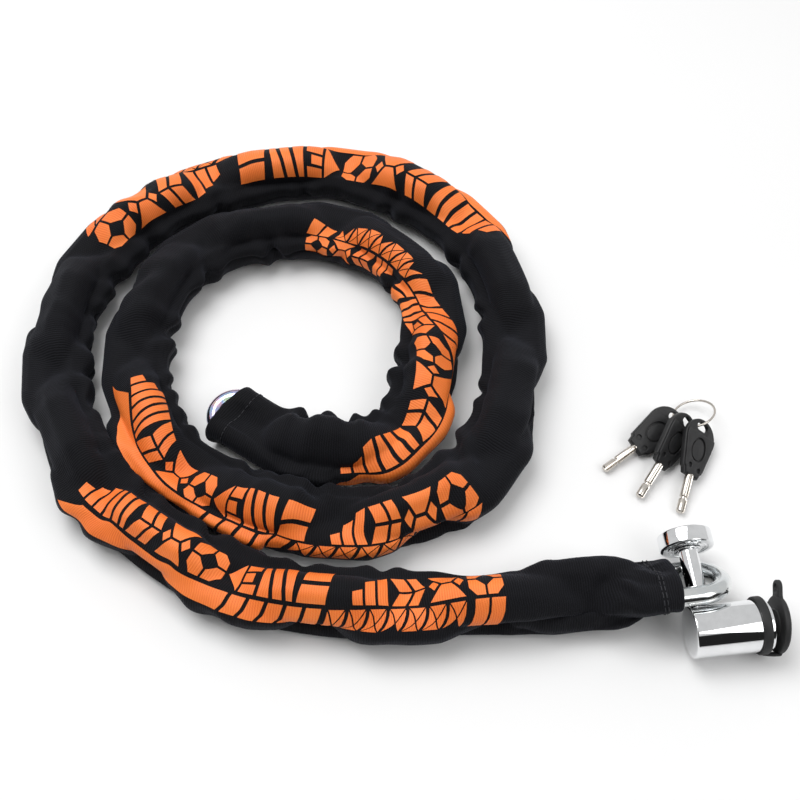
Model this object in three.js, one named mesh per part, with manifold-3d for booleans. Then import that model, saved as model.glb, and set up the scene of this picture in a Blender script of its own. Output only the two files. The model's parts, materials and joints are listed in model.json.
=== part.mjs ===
// A sleeved security chain with its barrel lock and keys, lying in a flat loose coil.
// Millimetres, +Z up, the floor at z = 0. The lock end lies at the right, and the coil
// opens towards -Y, where its user stands.
import * as THREE from "three";
import { mergeVertices } from "three/addons/utils/BufferGeometryUtils.js";
import Module from "manifold-3d";

const wasm = await Module();
wasm.setup();

// ---- Driving dimensions ------------------------------------------------------------------

// The layout is drawn around the middle of the coil. This shift puts the frame's origin
// at the middle of the whole object's box.
const FRAME_SHIFT = new THREE.Vector3(15.05, -13.57, 0);

const WIRE = 10; // chain wire diameter
const LINK_INNER_LENGTH = 47.5;
const LINK_INNER_WIDTH = 14;
const LINK_COUNT = 38;
const END_LINK_INNER_WIDTH = 21; // the link that takes the lock pin is a little wider
const LINK_SLACK = 1.2; // play left between the bows of neighbouring links

const SLEEVE_WALL = 1.2; // the fabric with its folds pressed flat
const SLEEVE_HALF_WIDTH = 22.5;
const SLEEVE_HALF_HEIGHT = 18.5;
const SLEEVE_STATIONS = 112;
const SLEEVE_SIDES = 12;

// The sleeve's centre line, from the hem at the lock end to the open mouth at the free end:
// x, y and, where the sleeve isn't full, half width, half height and tilt in degrees.
const ROUTE = [
  [145.3, -126.9, 22, 10.9, 46.5], [131, -127.8, 22.4, 14.3, 40.7],
  [110, -131.2, 22.5, 18.7, 0], [80, -134], [40, -137], [0, -139], [-42, -138], [-82, -129], [-118, -111],
  [-151, -87], [-178, -59], [-196, -26], [-205, 10], [-206, 46], [-198, 82],
  [-179, 116], [-149, 143], [-113, 161], [-75, 169], [-37, 168], [-2, 157],
  [29, 135], [53, 104], [67, 66], [69, 28], [64, -12], [49, -50], [24, -78],
  [-8, -90], [-42, -91], [-75, -83], [-107, -67], [-134, -45], [-151, -15],
  [-158, 20], [-155, 56], [-140, 88], [-113, 111], [-79, 121], [-44, 118],
  [-12, 104], [11, 80], [20, 50], [20, 20], [15, -9], [3, -33], [-17, -45],
  [-44, -46, 21.5, 18.5, 0], [-69, -38, 20.5, 18.4, 0], [-90, -25.5, 20.2, 15.6, 0],
  [-101, -17, 19.7, 13.2, 0],
];

const PIN_YAW = 6; // degrees: the barrel's axis from +X
const PIN_DROP = 5; // degrees: the pin slopes down from its head to the barrel
const EYE = new THREE.Vector3(155.7, -123.6, 18.9); // where the pin crosses the end link
const PIN_FROM_LINK_MIDDLE = 15;
const LINK_TO_BARREL = 28; // from the end link's middle to the barrel's axis, along the pin

const BARREL_RADIUS = 13.5;
const BARREL_BLIND_END = 8.6; // from the pin's axis to the blind end
const BARREL_KEY_END = 32.5; // from the pin's axis to the key end
const PIN_RADIUS = 5.25;
const PIN_HEAD_FACE = 44.5; // from the barrel's axis to the head's inner face
const PIN_HEAD_RADIUS = 14.5;
const PIN_HEAD_THICKNESS = 9;
const PIN_TIP = -7.5;
const PIN_GROOVE_RADIUS = 3;
const PIN_GROOVE_HALF = 4.3;
const RUNNING_GAP = 0.3;
const CORE_RADIUS = 8;
const CORE_START = 12.3;
const CORE_END = 30.5;
const DISC_RADIUS = 4.95;
const BOLT_RADIUS = 4;
const BOLT_TIP = 5.8;
const BOLT_HEAD_LENGTH = 3;
const SPRING_WIRE_RADIUS = 0.35;

const CAP_ANGLE = -67; // degrees about the barrel's axis: the cap's hinge lies low at the front
const CAP_OPEN = 6; // degrees: the cap rests slightly open

const RING_RADIUS = 12;
const RING_WIRE = 1.4;
const KEY_LENGTH = 53.5; // from the ring hole to the tip

const degrees = (angle) => (angle * Math.PI) / 180;
const UP = new THREE.Vector3(0, 0, 1);

// ---- Materials ---------------------------------------------------------------------------

function material(color, roughness, metalness) {
  return new THREE.MeshStandardMaterial({ color, roughness, metalness });
}

const materials = {
  fabric: material(0x16161c, 0.85, 0),
  zinc: material(0xb9bcbc, 0.35, 1),
  chrome: material(0xd8dadc, 0.12, 1),
  brass: material(0xb89a55, 0.4, 1),
  spring: material(0x8f9296, 0.35, 1),
  rubber: material(0x151515, 0.75, 0),
  nickel: material(0xa9a49d, 0.3, 1),
  plastic: material(0x1a1a1b, 0.6, 0),
};

// ---- Solids ------------------------------------------------------------------------------

function solidOf(geometry) {
  const bare = geometry.clone();
  bare.deleteAttribute("normal");
  bare.deleteAttribute("uv");
  const merged = mergeVertices(bare, 1e-4);
  return new wasm.Manifold(
    new wasm.Mesh({
      numProp: 3,
      vertProperties: new Float32Array(merged.attributes.position.array),
      triVerts: new Uint32Array(merged.index.array),
    }),
  );
}

function geometryOf(solid) {
  const mesh = solid.getMesh();
  const geometry = new THREE.BufferGeometry();
  geometry.setAttribute("position", new THREE.BufferAttribute(mesh.vertProperties, 3));
  geometry.setIndex(new THREE.BufferAttribute(mesh.triVerts, 1));
  geometry.computeVertexNormals();
  return geometry;
}

function cut(geometry, ...tools) {
  return geometryOf(
    tools.reduce((solid, tool) => solid.subtract(solidOf(tool)), solidOf(geometry)),
  );
}

function join(geometry, ...others) {
  return geometryOf(
    others.reduce((solid, other) => solid.add(solidOf(other)), solidOf(geometry)),
  );
}

// A round solid along X. The profile is a list of [x, radius].
function turnedAlongX(profile, sides = 28) {
  const points = profile.map(([x, radius]) => new THREE.Vector2(radius, x));
  return new THREE.LatheGeometry(points, sides).rotateZ(-Math.PI / 2);
}

function turnedAlongY(profile, sides = 24) {
  return new THREE.LatheGeometry(
    profile.map(([y, radius]) => new THREE.Vector2(radius, y)),
    sides,
  );
}

function rodAlongX(start, end, radius, sides = 20) {
  return turnedAlongX([[start, 0], [start, radius], [end, radius], [end, 0]], sides);
}

function rodAlongY(start, end, radius, sides = 20) {
  return turnedAlongY([[start, 0], [start, radius], [end, radius], [end, 0]], sides);
}

function box(x0, x1, y0, y1, z0, z1) {
  return new THREE.BoxGeometry(x1 - x0, y1 - y0, z1 - z0).translate(
    (x0 + x1) / 2,
    (y0 + y1) / 2,
    (z0 + z1) / 2,
  );
}

// Skins a row of rings, each with the same number of points. A closed row makes a loop.
// The points turn anticlockwise when seen from the end that the row runs towards.
function skinRings(rings, closed) {
  const sides = rings[0].length;
  const positions = rings.flat().flatMap((point) => [point.x, point.y, point.z]);
  const index = [];
  const rows = closed ? rings.length : rings.length - 1;
  for (let row = 0; row < rows; row += 1) {
    const next = (row + 1) % rings.length;
    for (let side = 0; side < sides; side += 1) {
      const a = row * sides + side;
      const b = row * sides + ((side + 1) % sides);
      const c = next * sides + side;
      const d = next * sides + ((side + 1) % sides);
      index.push(a, b, d, a, d, c);
    }
  }
  const geometry = new THREE.BufferGeometry();
  geometry.setAttribute("position", new THREE.Float32BufferAttribute(positions, 3));
  geometry.setIndex(index);
  geometry.computeVertexNormals();
  return geometry;
}

// ---- Chain -------------------------------------------------------------------------------

// A link lies along X with its eye open along Z.
function linkGeometry(innerWidth, wireSides, bowSteps) {
  const bowRadius = innerWidth / 2 + WIRE / 2;
  const bowCentre = LINK_INNER_LENGTH / 2 - innerWidth / 2;
  const rings = [];
  for (const side of [1, -1]) {
    for (let step = 0; step <= bowSteps; step += 1) {
      const angle = (step / bowSteps - 0.5) * Math.PI + (side < 0 ? Math.PI : 0);
      const outward = new THREE.Vector3(Math.cos(angle), Math.sin(angle), 0);
      const middle = outward.clone().multiplyScalar(bowRadius);
      middle.x += side * bowCentre;
      const ring = [];
      for (let corner = 0; corner < wireSides; corner += 1) {
        const turn = ((corner + 0.5) / wireSides) * 2 * Math.PI;
        ring.push(
          middle
            .clone()
            .addScaledVector(outward, (Math.cos(turn) * WIRE) / 2)
            .addScaledVector(UP, (Math.sin(turn) * -WIRE) / 2),
        );
      }
      rings.push(ring);
    }
  }
  return skinRings(rings, true);
}

function sleeveCurve() {
  return new THREE.CatmullRomCurve3(
    ROUTE.map(([x, y]) => new THREE.Vector3(x, y, 0)),
    false,
    "centripetal",
  );
}

// The first point further along the curve that lies a straight distance from the last one.
function stepAlong(curve, from, fromU, distance) {
  const FINE_STEP = 0.00002;
  let u = fromU;
  while (u < 1 && curve.getPointAt(u).distanceTo(from) < distance) {
    u += FINE_STEP;
  }
  return u;
}

// Turns a mesh so that its X axis runs along the direction, and rolls it about that axis.
function aim(mesh, middle, along, roll) {
  const across = new THREE.Vector3().crossVectors(UP, along).normalize();
  const basis = new THREE.Matrix4().makeBasis(
    along,
    across,
    new THREE.Vector3().crossVectors(along, across),
  );
  mesh.quaternion.setFromRotationMatrix(basis);
  mesh.rotateX(degrees(roll));
  mesh.position.copy(middle);
}

// Links stand upright and lie flat in turn, and lean over towards the lock.
function linkRoll(number) {
  const END_LEAN = 47;
  const LEAN_LINKS = 2.7;
  const square = number % 2 === 1 ? 90 : 0;
  return square - END_LEAN * Math.max(0, 1 - (number - 1) / LEAN_LINKS);
}

// The chain takes the outside of each bend, so that its long links stay in the sleeve.
function chainCurve(curve) {
  const SAMPLES = 220;
  const REACH = 27;
  const OUTWARD_SHARE = 0.55;
  const points = [];
  for (let sample = 0; sample <= SAMPLES; sample += 1) {
    const u = sample / SAMPLES;
    const reach = Math.min(REACH / curve.getLength(), u, 1 - u);
    const point = curve.getPointAt(u);
    const chord = curve.getPointAt(u - reach).add(curve.getPointAt(u + reach));
    points.push(point.clone().addScaledVector(point, OUTWARD_SHARE)
      .addScaledVector(chord, -OUTWARD_SHARE / 2));
  }
  return new THREE.CatmullRomCurve3(points, false, "centripetal");
}

function buildChain(sleeveLine) {
  const curve = chainCurve(sleeveLine);
  const chain = new THREE.Group();
  const endGeometry = linkGeometry(END_LINK_INNER_WIDTH, 12, 8);
  const shownGeometry = linkGeometry(LINK_INNER_WIDTH, 12, 8);
  const hiddenGeometry = linkGeometry(LINK_INNER_WIDTH, 6, 4);

  // A flat link is held at the middles of its bows, and an upright one at its bow wires.
  const flatSpan = LINK_INNER_LENGTH - LINK_INNER_WIDTH;
  const uprightSpan = LINK_INNER_LENGTH + LINK_INNER_WIDTH - 2 * LINK_SLACK;
  const lockEnd = new THREE.Vector3(EYE.x - PIN_FROM_LINK_MIDDLE + uprightSpan / 2, EYE.y, 0);
  let from = lockEnd;
  let u = 0;
  for (let number = 1; number <= LINK_COUNT; number += 1) {
    const span = number % 2 === 1 ? uprightSpan : flatSpan;
    u = stepAlong(curve, from, u, span);
    const to = curve.getPointAt(Math.min(u, 1));
    if (u >= 1) {
      to.copy(from).addScaledVector(curve.getTangentAt(1), span);
    }
    const isEnd = number === 1;
    const shown = number > LINK_COUNT - 2 || number === 2;
    const geometry = isEnd ? endGeometry : shown ? shownGeometry : hiddenGeometry;
    const link = new THREE.Mesh(geometry, materials.zinc.clone());
    link.name = `link_${String(number).padStart(2, "0")}`;
    const middle = from.clone().add(to).multiplyScalar(0.5);
    middle.z = isEnd ? EYE.z : SLEEVE_HALF_HEIGHT;
    aim(link, middle, to.clone().sub(from).normalize(), linkRoll(number));
    chain.add(link);
    from = to;
  }
  return chain;
}

// ---- Sleeve ------------------------------------------------------------------------------

function smoothstep(share) {
  return share * share * (3 - 2 * share);
}

// Half width, half height and tilt at a share of the way along the route's points.
function sectionAt(share) {
  const full = [SLEEVE_HALF_WIDTH, SLEEVE_HALF_HEIGHT, 0];
  const place = share * (ROUTE.length - 1);
  const before = Math.min(Math.floor(place), ROUTE.length - 2);
  const blend = smoothstep(place - before);
  const near = ROUTE[before].length > 2 ? ROUTE[before].slice(2) : full;
  const far = ROUTE[before + 1].length > 2 ? ROUTE[before + 1].slice(2) : full;
  return near.map((value, item) => value + (far[item] - value) * blend);
}

// One ring of the sleeve's cross-section: a rounded box with a flat top and bottom.
function sleeveRing(middle, along, halfWidth, halfHeight, tilt, inset) {
  const CORNER_POWER = 0.72;
  const FLAT_SHARE = 1.03;
  const side = new THREE.Vector3().crossVectors(UP, along).normalize();
  const points = [];
  for (let corner = 0; corner < SLEEVE_SIDES; corner += 1) {
    const angle = ((corner + 0.5) / SLEEVE_SIDES) * 2 * Math.PI;
    const wide = Math.sign(Math.cos(angle)) * Math.abs(Math.cos(angle)) ** CORNER_POWER;
    const high = Math.sign(Math.sin(angle)) * Math.abs(Math.sin(angle)) ** CORNER_POWER;
    const clampedWide = THREE.MathUtils.clamp(wide * FLAT_SHARE, -1, 1);
    const clampedHigh = THREE.MathUtils.clamp(high * FLAT_SHARE, -1, 1);
    const across = clampedWide * (halfWidth - inset);
    const rise = clampedHigh * (halfHeight - inset);
    const lean = degrees(tilt);
    points.push(
      middle
        .clone()
        .addScaledVector(side, across * Math.cos(lean) - rise * Math.sin(lean))
        .addScaledVector(UP, across * Math.sin(lean) + rise * Math.cos(lean)),
    );
  }
  return points;
}

function sleeveGeometry(curve) {
  const outer = [];
  const inner = [];
  for (let station = 0; station < SLEEVE_STATIONS; station += 1) {
    const share = station / (SLEEVE_STATIONS - 1);
    const along = curve.getTangent(share);
    const [halfWidth, halfHeight, tilt] = sectionAt(share);
    const middle = curve.getPoint(share);
    const outerRing = sleeveRing(middle, along, halfWidth, halfHeight, tilt, 0);
    const rise = -Math.min(...outerRing.map((point) => point.z));
    const innerRing = sleeveRing(middle, along, halfWidth, halfHeight, tilt, SLEEVE_WALL);
    outer.push(outerRing.map((point) => point.setZ(point.z + rise)));
    inner.push(innerRing.map((point) => point.setZ(point.z + rise)));
  }
  return skinRings([...outer, ...inner.reverse()], true);
}

function buildSleeve(curve) {
  const sleeve = new THREE.Mesh(sleeveGeometry(curve), materials.fabric.clone());
  sleeve.name = "sleeve";
  return sleeve;
}

// ---- Lock --------------------------------------------------------------------------------

function named(name, geometry, look) {
  const mesh = new THREE.Mesh(geometry, look.clone());
  mesh.name = name;
  return mesh;
}

// The lock's own frame: X along the barrel to the key end, Y along the pin to its head.
function barrelGeometry() {
  const CHAMFER = 1.2;
  const body = turnedAlongX([
    [-BARREL_BLIND_END, 0],
    [-BARREL_BLIND_END, BARREL_RADIUS - CHAMFER],
    [-BARREL_BLIND_END + CHAMFER, BARREL_RADIUS],
    [BARREL_KEY_END - CHAMFER, BARREL_RADIUS],
    [BARREL_KEY_END, BARREL_RADIUS - CHAMFER],
    [BARREL_KEY_END, 0],
  ], 36);
  const pinBore = rodAlongY(PIN_TIP - 1, BARREL_RADIUS + 1, PIN_RADIUS + RUNNING_GAP, 24);
  const coreBore = rodAlongX(
    CORE_START - RUNNING_GAP, BARREL_KEY_END + 1, CORE_RADIUS + RUNNING_GAP, 28,
  );
  const boltBore = rodAlongX(0, CORE_START, BOLT_RADIUS + RUNNING_GAP, 20);
  return cut(body, pinBore, coreBore, boltBore);
}

// The core is a cup: the bolt's stem sits in its floor, and the discs in its bore.
function coreGeometry() {
  const STEM_SOCKET_DEPTH = 4.5;
  const STEM_SOCKET_RADIUS = 2.3;
  const FLOOR = 6.5;
  const SLOT_HALF_WIDTH = 1.25;
  const SLOT_BOTTOM = 4;
  const RIM = 1;
  const floor = CORE_START + FLOOR;
  const body = rodAlongX(CORE_START, CORE_END, CORE_RADIUS, 28);
  const discBore = rodAlongX(floor, CORE_END + 1, DISC_RADIUS + RUNNING_GAP, 24);
  const stemBore = rodAlongX(
    CORE_START - 1, CORE_START + STEM_SOCKET_DEPTH, STEM_SOCKET_RADIUS, 16,
  );
  const sidebarSlot = box(
    floor, CORE_END - RIM, -SLOT_HALF_WIDTH, SLOT_HALF_WIDTH, SLOT_BOTTOM, CORE_RADIUS + 1,
  );
  return cut(body, discBore, stemBore, sidebarSlot);
}

function discGeometry(start) {
  const THICKNESS = 3;
  const KEY_HOLE_RADIUS = 2.9;
  const NOTCH_DEPTH = 0.8;
  const NOTCH_HALF_WIDTH = 1.4;
  const end = start + THICKNESS;
  const disc = rodAlongX(start, end, DISC_RADIUS, 24);
  const notch = box(
    start - 1, end + 1, -NOTCH_HALF_WIDTH, NOTCH_HALF_WIDTH,
    DISC_RADIUS - NOTCH_DEPTH, DISC_RADIUS + 1,
  );
  return cut(disc, rodAlongX(start - 1, end + 1, KEY_HOLE_RADIUS, 16), notch);
}

function springGeometry(start, end) {
  const TURNS = 3;
  const STEPS_PER_TURN = 12;
  const COIL_RADIUS = 3.2;
  const WIRE_SIDES = 5;
  const rings = [];
  for (let step = 0; step <= TURNS * STEPS_PER_TURN; step += 1) {
    const turn = (step / STEPS_PER_TURN) * 2 * Math.PI;
    const share = step / (TURNS * STEPS_PER_TURN);
    const outward = new THREE.Vector3(0, Math.cos(turn), Math.sin(turn));
    const middle = outward.clone().multiplyScalar(COIL_RADIUS);
    middle.x = start + (end - start) * share;
    const ring = [];
    for (let corner = 0; corner < WIRE_SIDES; corner += 1) {
      const angle = (corner / WIRE_SIDES) * 2 * Math.PI;
      const point = middle
        .clone()
        .addScaledVector(outward, Math.cos(angle) * SPRING_WIRE_RADIUS);
      point.x -= Math.sin(angle) * SPRING_WIRE_RADIUS;
      ring.push(point);
    }
    rings.push(ring);
  }
  return cappedRings(rings);
}

// Skins an open row of rings and closes both ends with flat fans.
function cappedRings(rings) {
  const sides = rings[0].length;
  const geometry = skinRings(rings, false);
  const index = [...geometry.index.array];
  const last = (rings.length - 1) * sides;
  for (let side = 1; side < sides - 1; side += 1) {
    index.push(0, side + 1, side);
    index.push(last, last + side, last + side + 1);
  }
  geometry.setIndex(index);
  return geometry;
}

function pinGeometry() {
  const COLLAR_RADIUS = 7.6;
  const COLLAR_THICKNESS = 1;
  const SPIGOT_RADIUS = 3.5;
  const SPIGOT_LENGTH = 5;
  const collarEnd = PIN_HEAD_FACE - RUNNING_GAP;
  return turnedAlongY([
    [PIN_TIP, 0],
    [PIN_TIP, PIN_RADIUS - 1],
    [PIN_TIP + 1, PIN_RADIUS],
    [-PIN_GROOVE_HALF, PIN_RADIUS],
    [-PIN_GROOVE_HALF, PIN_GROOVE_RADIUS],
    [PIN_GROOVE_HALF, PIN_GROOVE_RADIUS],
    [PIN_GROOVE_HALF, PIN_RADIUS],
    [collarEnd - COLLAR_THICKNESS, PIN_RADIUS],
    [collarEnd - COLLAR_THICKNESS, COLLAR_RADIUS],
    [collarEnd, COLLAR_RADIUS],
    [collarEnd, SPIGOT_RADIUS],
    [collarEnd + SPIGOT_LENGTH, SPIGOT_RADIUS],
    [collarEnd + SPIGOT_LENGTH, 0],
  ], 24);
}

function pinHeadGeometry() {
  const CHAMFER = 1.3;
  const BORE_RADIUS = 3.8;
  const BORE_DEPTH = 5.2;
  const back = PIN_HEAD_FACE + PIN_HEAD_THICKNESS;
  return turnedAlongY([
    [PIN_HEAD_FACE + BORE_DEPTH, 0],
    [PIN_HEAD_FACE + BORE_DEPTH, BORE_RADIUS],
    [PIN_HEAD_FACE, BORE_RADIUS],
    [PIN_HEAD_FACE, PIN_HEAD_RADIUS - CHAMFER],
    [PIN_HEAD_FACE + CHAMFER, PIN_HEAD_RADIUS],
    [back - CHAMFER, PIN_HEAD_RADIUS],
    [back, PIN_HEAD_RADIUS - CHAMFER],
    [back, 0],
  ], 36);
}

function boltGeometry() {
  const CHAMFER = 0.6;
  const STEM_RADIUS = 1.9;
  const STEM_END = 15.6;
  const headEnd = BOLT_TIP + BOLT_HEAD_LENGTH;
  return turnedAlongX([
    [BOLT_TIP, 0],
    [BOLT_TIP, BOLT_RADIUS - CHAMFER],
    [BOLT_TIP + CHAMFER, BOLT_RADIUS],
    [headEnd, BOLT_RADIUS],
    [headEnd, STEM_RADIUS],
    [STEM_END, STEM_RADIUS],
    [STEM_END, 0],
  ], 16);
}

function keyholePlateGeometry() {
  const THICKNESS = 1.4;
  const HOLE_RADIUS = 3.1;
  const NOTCH_HALF_WIDTH = 0.9;
  const NOTCH_TOP = 4.1;
  const start = CORE_END + RUNNING_GAP;
  const end = start + THICKNESS;
  const plate = rodAlongX(start, end, CORE_RADIUS, 28);
  const hole = rodAlongX(start - 1, end + 1, HOLE_RADIUS, 20);
  const notch = box(start - 1, end + 1, -NOTCH_HALF_WIDTH, NOTCH_HALF_WIDTH, 0, NOTCH_TOP);
  return cut(plate, hole, notch);
}

// The dust cover: its band hugs the barrel, and a short strap hinges the cap.
// Its own frame has the strap at -Z and the pull tab at +Z.
const BAND_START = 25.8;
const BAND_END = 30.2;
const BAND_INNER = BARREL_RADIUS + 0.15;
const BAND_OUTER = BARREL_RADIUS + 1.5;
const CAP_GAP = 2.4; // between the barrel's end and the cap
const CAP_THICKNESS = 3.4;
const CAP_RADIUS = 15;
const HINGE_X = BARREL_KEY_END + 0.6;
const HINGE_Z = -(BAND_OUTER + 0.4);
const STRAP_HALF_WIDTH = 4;
const STRAP_HALF_THICKNESS = 0.6;
const STRAP_END = 0.75; // from the hinge line to the end of each half of the strap

function strapBox(start, end) {
  return box(
    start, end, -STRAP_HALF_WIDTH, STRAP_HALF_WIDTH,
    HINGE_Z - STRAP_HALF_THICKNESS, HINGE_Z + STRAP_HALF_THICKNESS,
  );
}

function bandGeometry() {
  const ring = turnedAlongX([
    [BAND_START, BAND_INNER],
    [BAND_START, BAND_OUTER],
    [BAND_END, BAND_OUTER],
    [BAND_END, BAND_INNER],
    [BAND_START, BAND_INNER],
  ], 36);
  const STRAP_OVERLAP = 2; // along the band
  return join(ring, strapBox(BAND_END - STRAP_OVERLAP, HINGE_X - STRAP_END));
}

function capGeometry() {
  const EDGE = 0.8;
  const TAB_WIDTH = 8;
  const TAB_HEIGHT = 9;
  const TAB_THICKNESS = 2.4;
  const TAB_HOLE = 2;
  const TAB_ROOT = 3; // sunk in the disc
  const TAB_SETBACK = 0.5; // from the cap's inner face
  const start = BARREL_KEY_END + CAP_GAP;
  const disc = turnedAlongX([
    [start, 0],
    [start, CAP_RADIUS - EDGE],
    [start + EDGE, CAP_RADIUS],
    [start + CAP_THICKNESS - EDGE, CAP_RADIUS],
    [start + CAP_THICKNESS, CAP_RADIUS - EDGE],
    [start + CAP_THICKNESS, 0],
  ], 32);
  const ROOT_START = 0.1; // from the cap's inner face
  const ROOT_END = 2.4;
  const ROOT_HEIGHT = 4;
  const strap = strapBox(HINGE_X + STRAP_END, start + ROOT_END);
  const strapRoot = box(
    start + ROOT_START, start + ROOT_END, -STRAP_HALF_WIDTH, STRAP_HALF_WIDTH,
    HINGE_Z - STRAP_HALF_THICKNESS, HINGE_Z + ROOT_HEIGHT,
  );
  const outline = new THREE.Shape();
  outline.moveTo(-TAB_WIDTH / 2, -TAB_ROOT);
  outline.lineTo(TAB_WIDTH / 2, -TAB_ROOT);
  outline.lineTo(TAB_WIDTH / 2, TAB_HEIGHT - TAB_WIDTH / 2);
  outline.absarc(0, TAB_HEIGHT - TAB_WIDTH / 2, TAB_WIDTH / 2, 0, Math.PI, false);
  const hole = new THREE.Path();
  hole.absarc(0, TAB_HEIGHT - TAB_WIDTH / 2, TAB_HOLE, 0, 2 * Math.PI, true);
  outline.holes.push(hole);
  const tab = new THREE.ExtrudeGeometry(outline, {
    depth: TAB_THICKNESS, bevelEnabled: false, curveSegments: 6,
  });
  tab.rotateX(Math.PI / 2).rotateZ(Math.PI / 2);
  tab.translate(start + TAB_SETBACK, 0, CAP_RADIUS - 1);
  return join(disc, strap, strapRoot, tab);
}

function buildLock() {
  const lock = new THREE.Group();
  lock.add(named("barrel", barrelGeometry(), materials.chrome));
  lock.add(named("pin_shaft", pinGeometry(), materials.chrome));
  lock.add(named("pin_head", pinHeadGeometry(), materials.chrome));
  lock.add(named("lock_core", coreGeometry(), materials.brass));
  const DISC_COUNT = 3;
  const DISC_FIRST = CORE_START + 7;
  const DISC_PITCH = 3.3;
  for (let number = 1; number <= DISC_COUNT; number += 1) {
    const start = DISC_FIRST + (number - 1) * DISC_PITCH;
    lock.add(named(`detainer_disc_${number}`, discGeometry(start), materials.brass));
  }
  const SIDEBAR = { start: 19.4, end: 28.9, halfWidth: 0.95, bottom: 5.4, top: 7.6 };
  const sidebar = box(
    SIDEBAR.start, SIDEBAR.end, -SIDEBAR.halfWidth, SIDEBAR.halfWidth, SIDEBAR.bottom, SIDEBAR.top,
  );
  lock.add(named("sidebar", sidebar, materials.spring));
  lock.add(named("locking_bolt", boltGeometry(), materials.spring));
  const SPRING_END = 11.5;
  const springStart = BOLT_TIP + BOLT_HEAD_LENGTH + RUNNING_GAP + SPRING_WIRE_RADIUS;
  const spring = springGeometry(springStart, SPRING_END);
  lock.add(named("bolt_spring", spring, materials.spring));
  lock.add(named("keyhole_plate", keyholePlateGeometry(), materials.nickel));

  const cover = new THREE.Group();
  cover.rotation.x = degrees(CAP_ANGLE);
  cover.add(named("dust_band", bandGeometry(), materials.rubber));
  const hinged = new THREE.Group();
  hinged.position.set(HINGE_X, 0, HINGE_Z);
  hinged.rotation.y = degrees(CAP_OPEN);
  hinged.add(
    named("dust_cap", capGeometry().translate(-HINGE_X, 0, -HINGE_Z), materials.rubber),
  );
  cover.add(hinged);
  lock.add(cover);

  const middle = EYE.clone();
  const yaw = degrees(PIN_YAW);
  const drop = degrees(PIN_DROP);
  middle.x += LINK_TO_BARREL * Math.sin(yaw) * Math.cos(drop);
  middle.y -= LINK_TO_BARREL * Math.cos(yaw) * Math.cos(drop);
  middle.z -= LINK_TO_BARREL * Math.sin(drop);
  lock.position.copy(middle);
  lock.rotation.set(drop, 0, yaw, "ZYX");
  return lock;
}

// ---- Keys --------------------------------------------------------------------------------

const BOW_THICKNESS = 5;
const BOW_TOP_RADIUS = 11.5;
const BOW_END = 31;
const BLADE_RADIUS = 2.5;
const BLADE_START = 25;

// The key's own frame: the ring hole at the origin, the blade along +X, flat in XY.
function bowGeometry() {
  const TOP = -4.6; // the bow's rounded end
  const NECK = 7.2; // half width above the lower corners
  const CORNER = 1.6;
  const STEP = 0.6; // the notch above each lower corner
  const STEP_LOW = BOW_END - 3.2;
  const STEP_HIGH = BOW_END - 4;
  const middle = TOP + BOW_TOP_RADIUS;
  const SHOULDER = 75; // degrees: where the round top runs into the sides
  const outline = new THREE.Shape();
  const shoulder = degrees(SHOULDER);
  outline.absarc(middle, 0, BOW_TOP_RADIUS, shoulder, 2 * Math.PI - shoulder, false);
  outline.lineTo(STEP_HIGH, -NECK - STEP);
  outline.lineTo(STEP_LOW, -NECK + STEP);
  outline.lineTo(BOW_END, -NECK + CORNER);
  outline.lineTo(BOW_END, NECK - CORNER);
  outline.lineTo(STEP_LOW, NECK - STEP);
  outline.lineTo(STEP_HIGH, NECK + STEP);
  const hole = new THREE.Path();
  const HOLE_REACH = 2; // from the slot's middle to the middle of each round end
  const HOLE_RADIUS = 2.4;
  hole.absarc(0, HOLE_REACH, HOLE_RADIUS, 0, Math.PI, false);
  hole.absarc(0, -HOLE_REACH, HOLE_RADIUS, Math.PI, 2 * Math.PI, false);
  outline.holes.push(hole);
  const plate = new THREE.ExtrudeGeometry(outline, {
    depth: BOW_THICKNESS, bevelEnabled: false, curveSegments: 10,
  }).translate(0, 0, -BOW_THICKNESS / 2);
  const socket = rodAlongX(BLADE_START - 0.5, BOW_END + 1, BLADE_RADIUS + 0.2, 16);
  const HEAD_END = 4.5; // the head around the slot is thinner than the rest
  const HEAD_HALF = 1.4;
  const reach = BOW_TOP_RADIUS + 1;
  const above = box(TOP - 1, HEAD_END, -reach, reach, HEAD_HALF, BOW_THICKNESS);
  const below = box(TOP - 1, HEAD_END, -reach, reach, -BOW_THICKNESS, -HEAD_HALF);
  return cut(plate, socket, above, below);
}

function bladeGeometry() {
  const NECK_FROM_TIP = 8;
  const NECK_LENGTH = 1.6;
  const NECK_RADIUS = 1.7;
  const GROOVE_HALF_WIDTH = 0.6;
  const GROOVE_BOTTOM = 1.2;
  const end = KEY_LENGTH;
  const rod = turnedAlongX([
    [BLADE_START, 0],
    [BLADE_START, BLADE_RADIUS],
    [end - NECK_FROM_TIP - NECK_LENGTH, BLADE_RADIUS],
    [end - NECK_FROM_TIP - NECK_LENGTH, NECK_RADIUS],
    [end - NECK_FROM_TIP, NECK_RADIUS],
    [end - NECK_FROM_TIP, BLADE_RADIUS],
    [end - 1, BLADE_RADIUS],
    [end, BLADE_RADIUS - 1],
    [end, 0],
  ], 14);
  const groove = box(
    BOW_END + 1, end + 1, -GROOVE_HALF_WIDTH, GROOVE_HALF_WIDTH, GROOVE_BOTTOM, BLADE_RADIUS + 1,
  );
  return cut(rod, groove);
}

// Each key's ring hole, heading, roll and pitch in degrees. The keys lie like fallen
// dominoes, each with its left edge on the one before it.
const KEYS = [
  { hole: [161.1, -18.3, 7.8], heading: 215.5, roll: -24, pitch: 5 },
  { hole: [166.1, -24, 13.3], heading: 234.8, roll: -51, pitch: 10.5 },
  { hole: [174.9, -27.1, 12.9], heading: 251, roll: -38, pitch: 10.5 },
];
const RING = { middle: [172.8, -15.5, 9.9], heading: 1.7, roll: 158.6, pitch: -18.7 };

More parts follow.
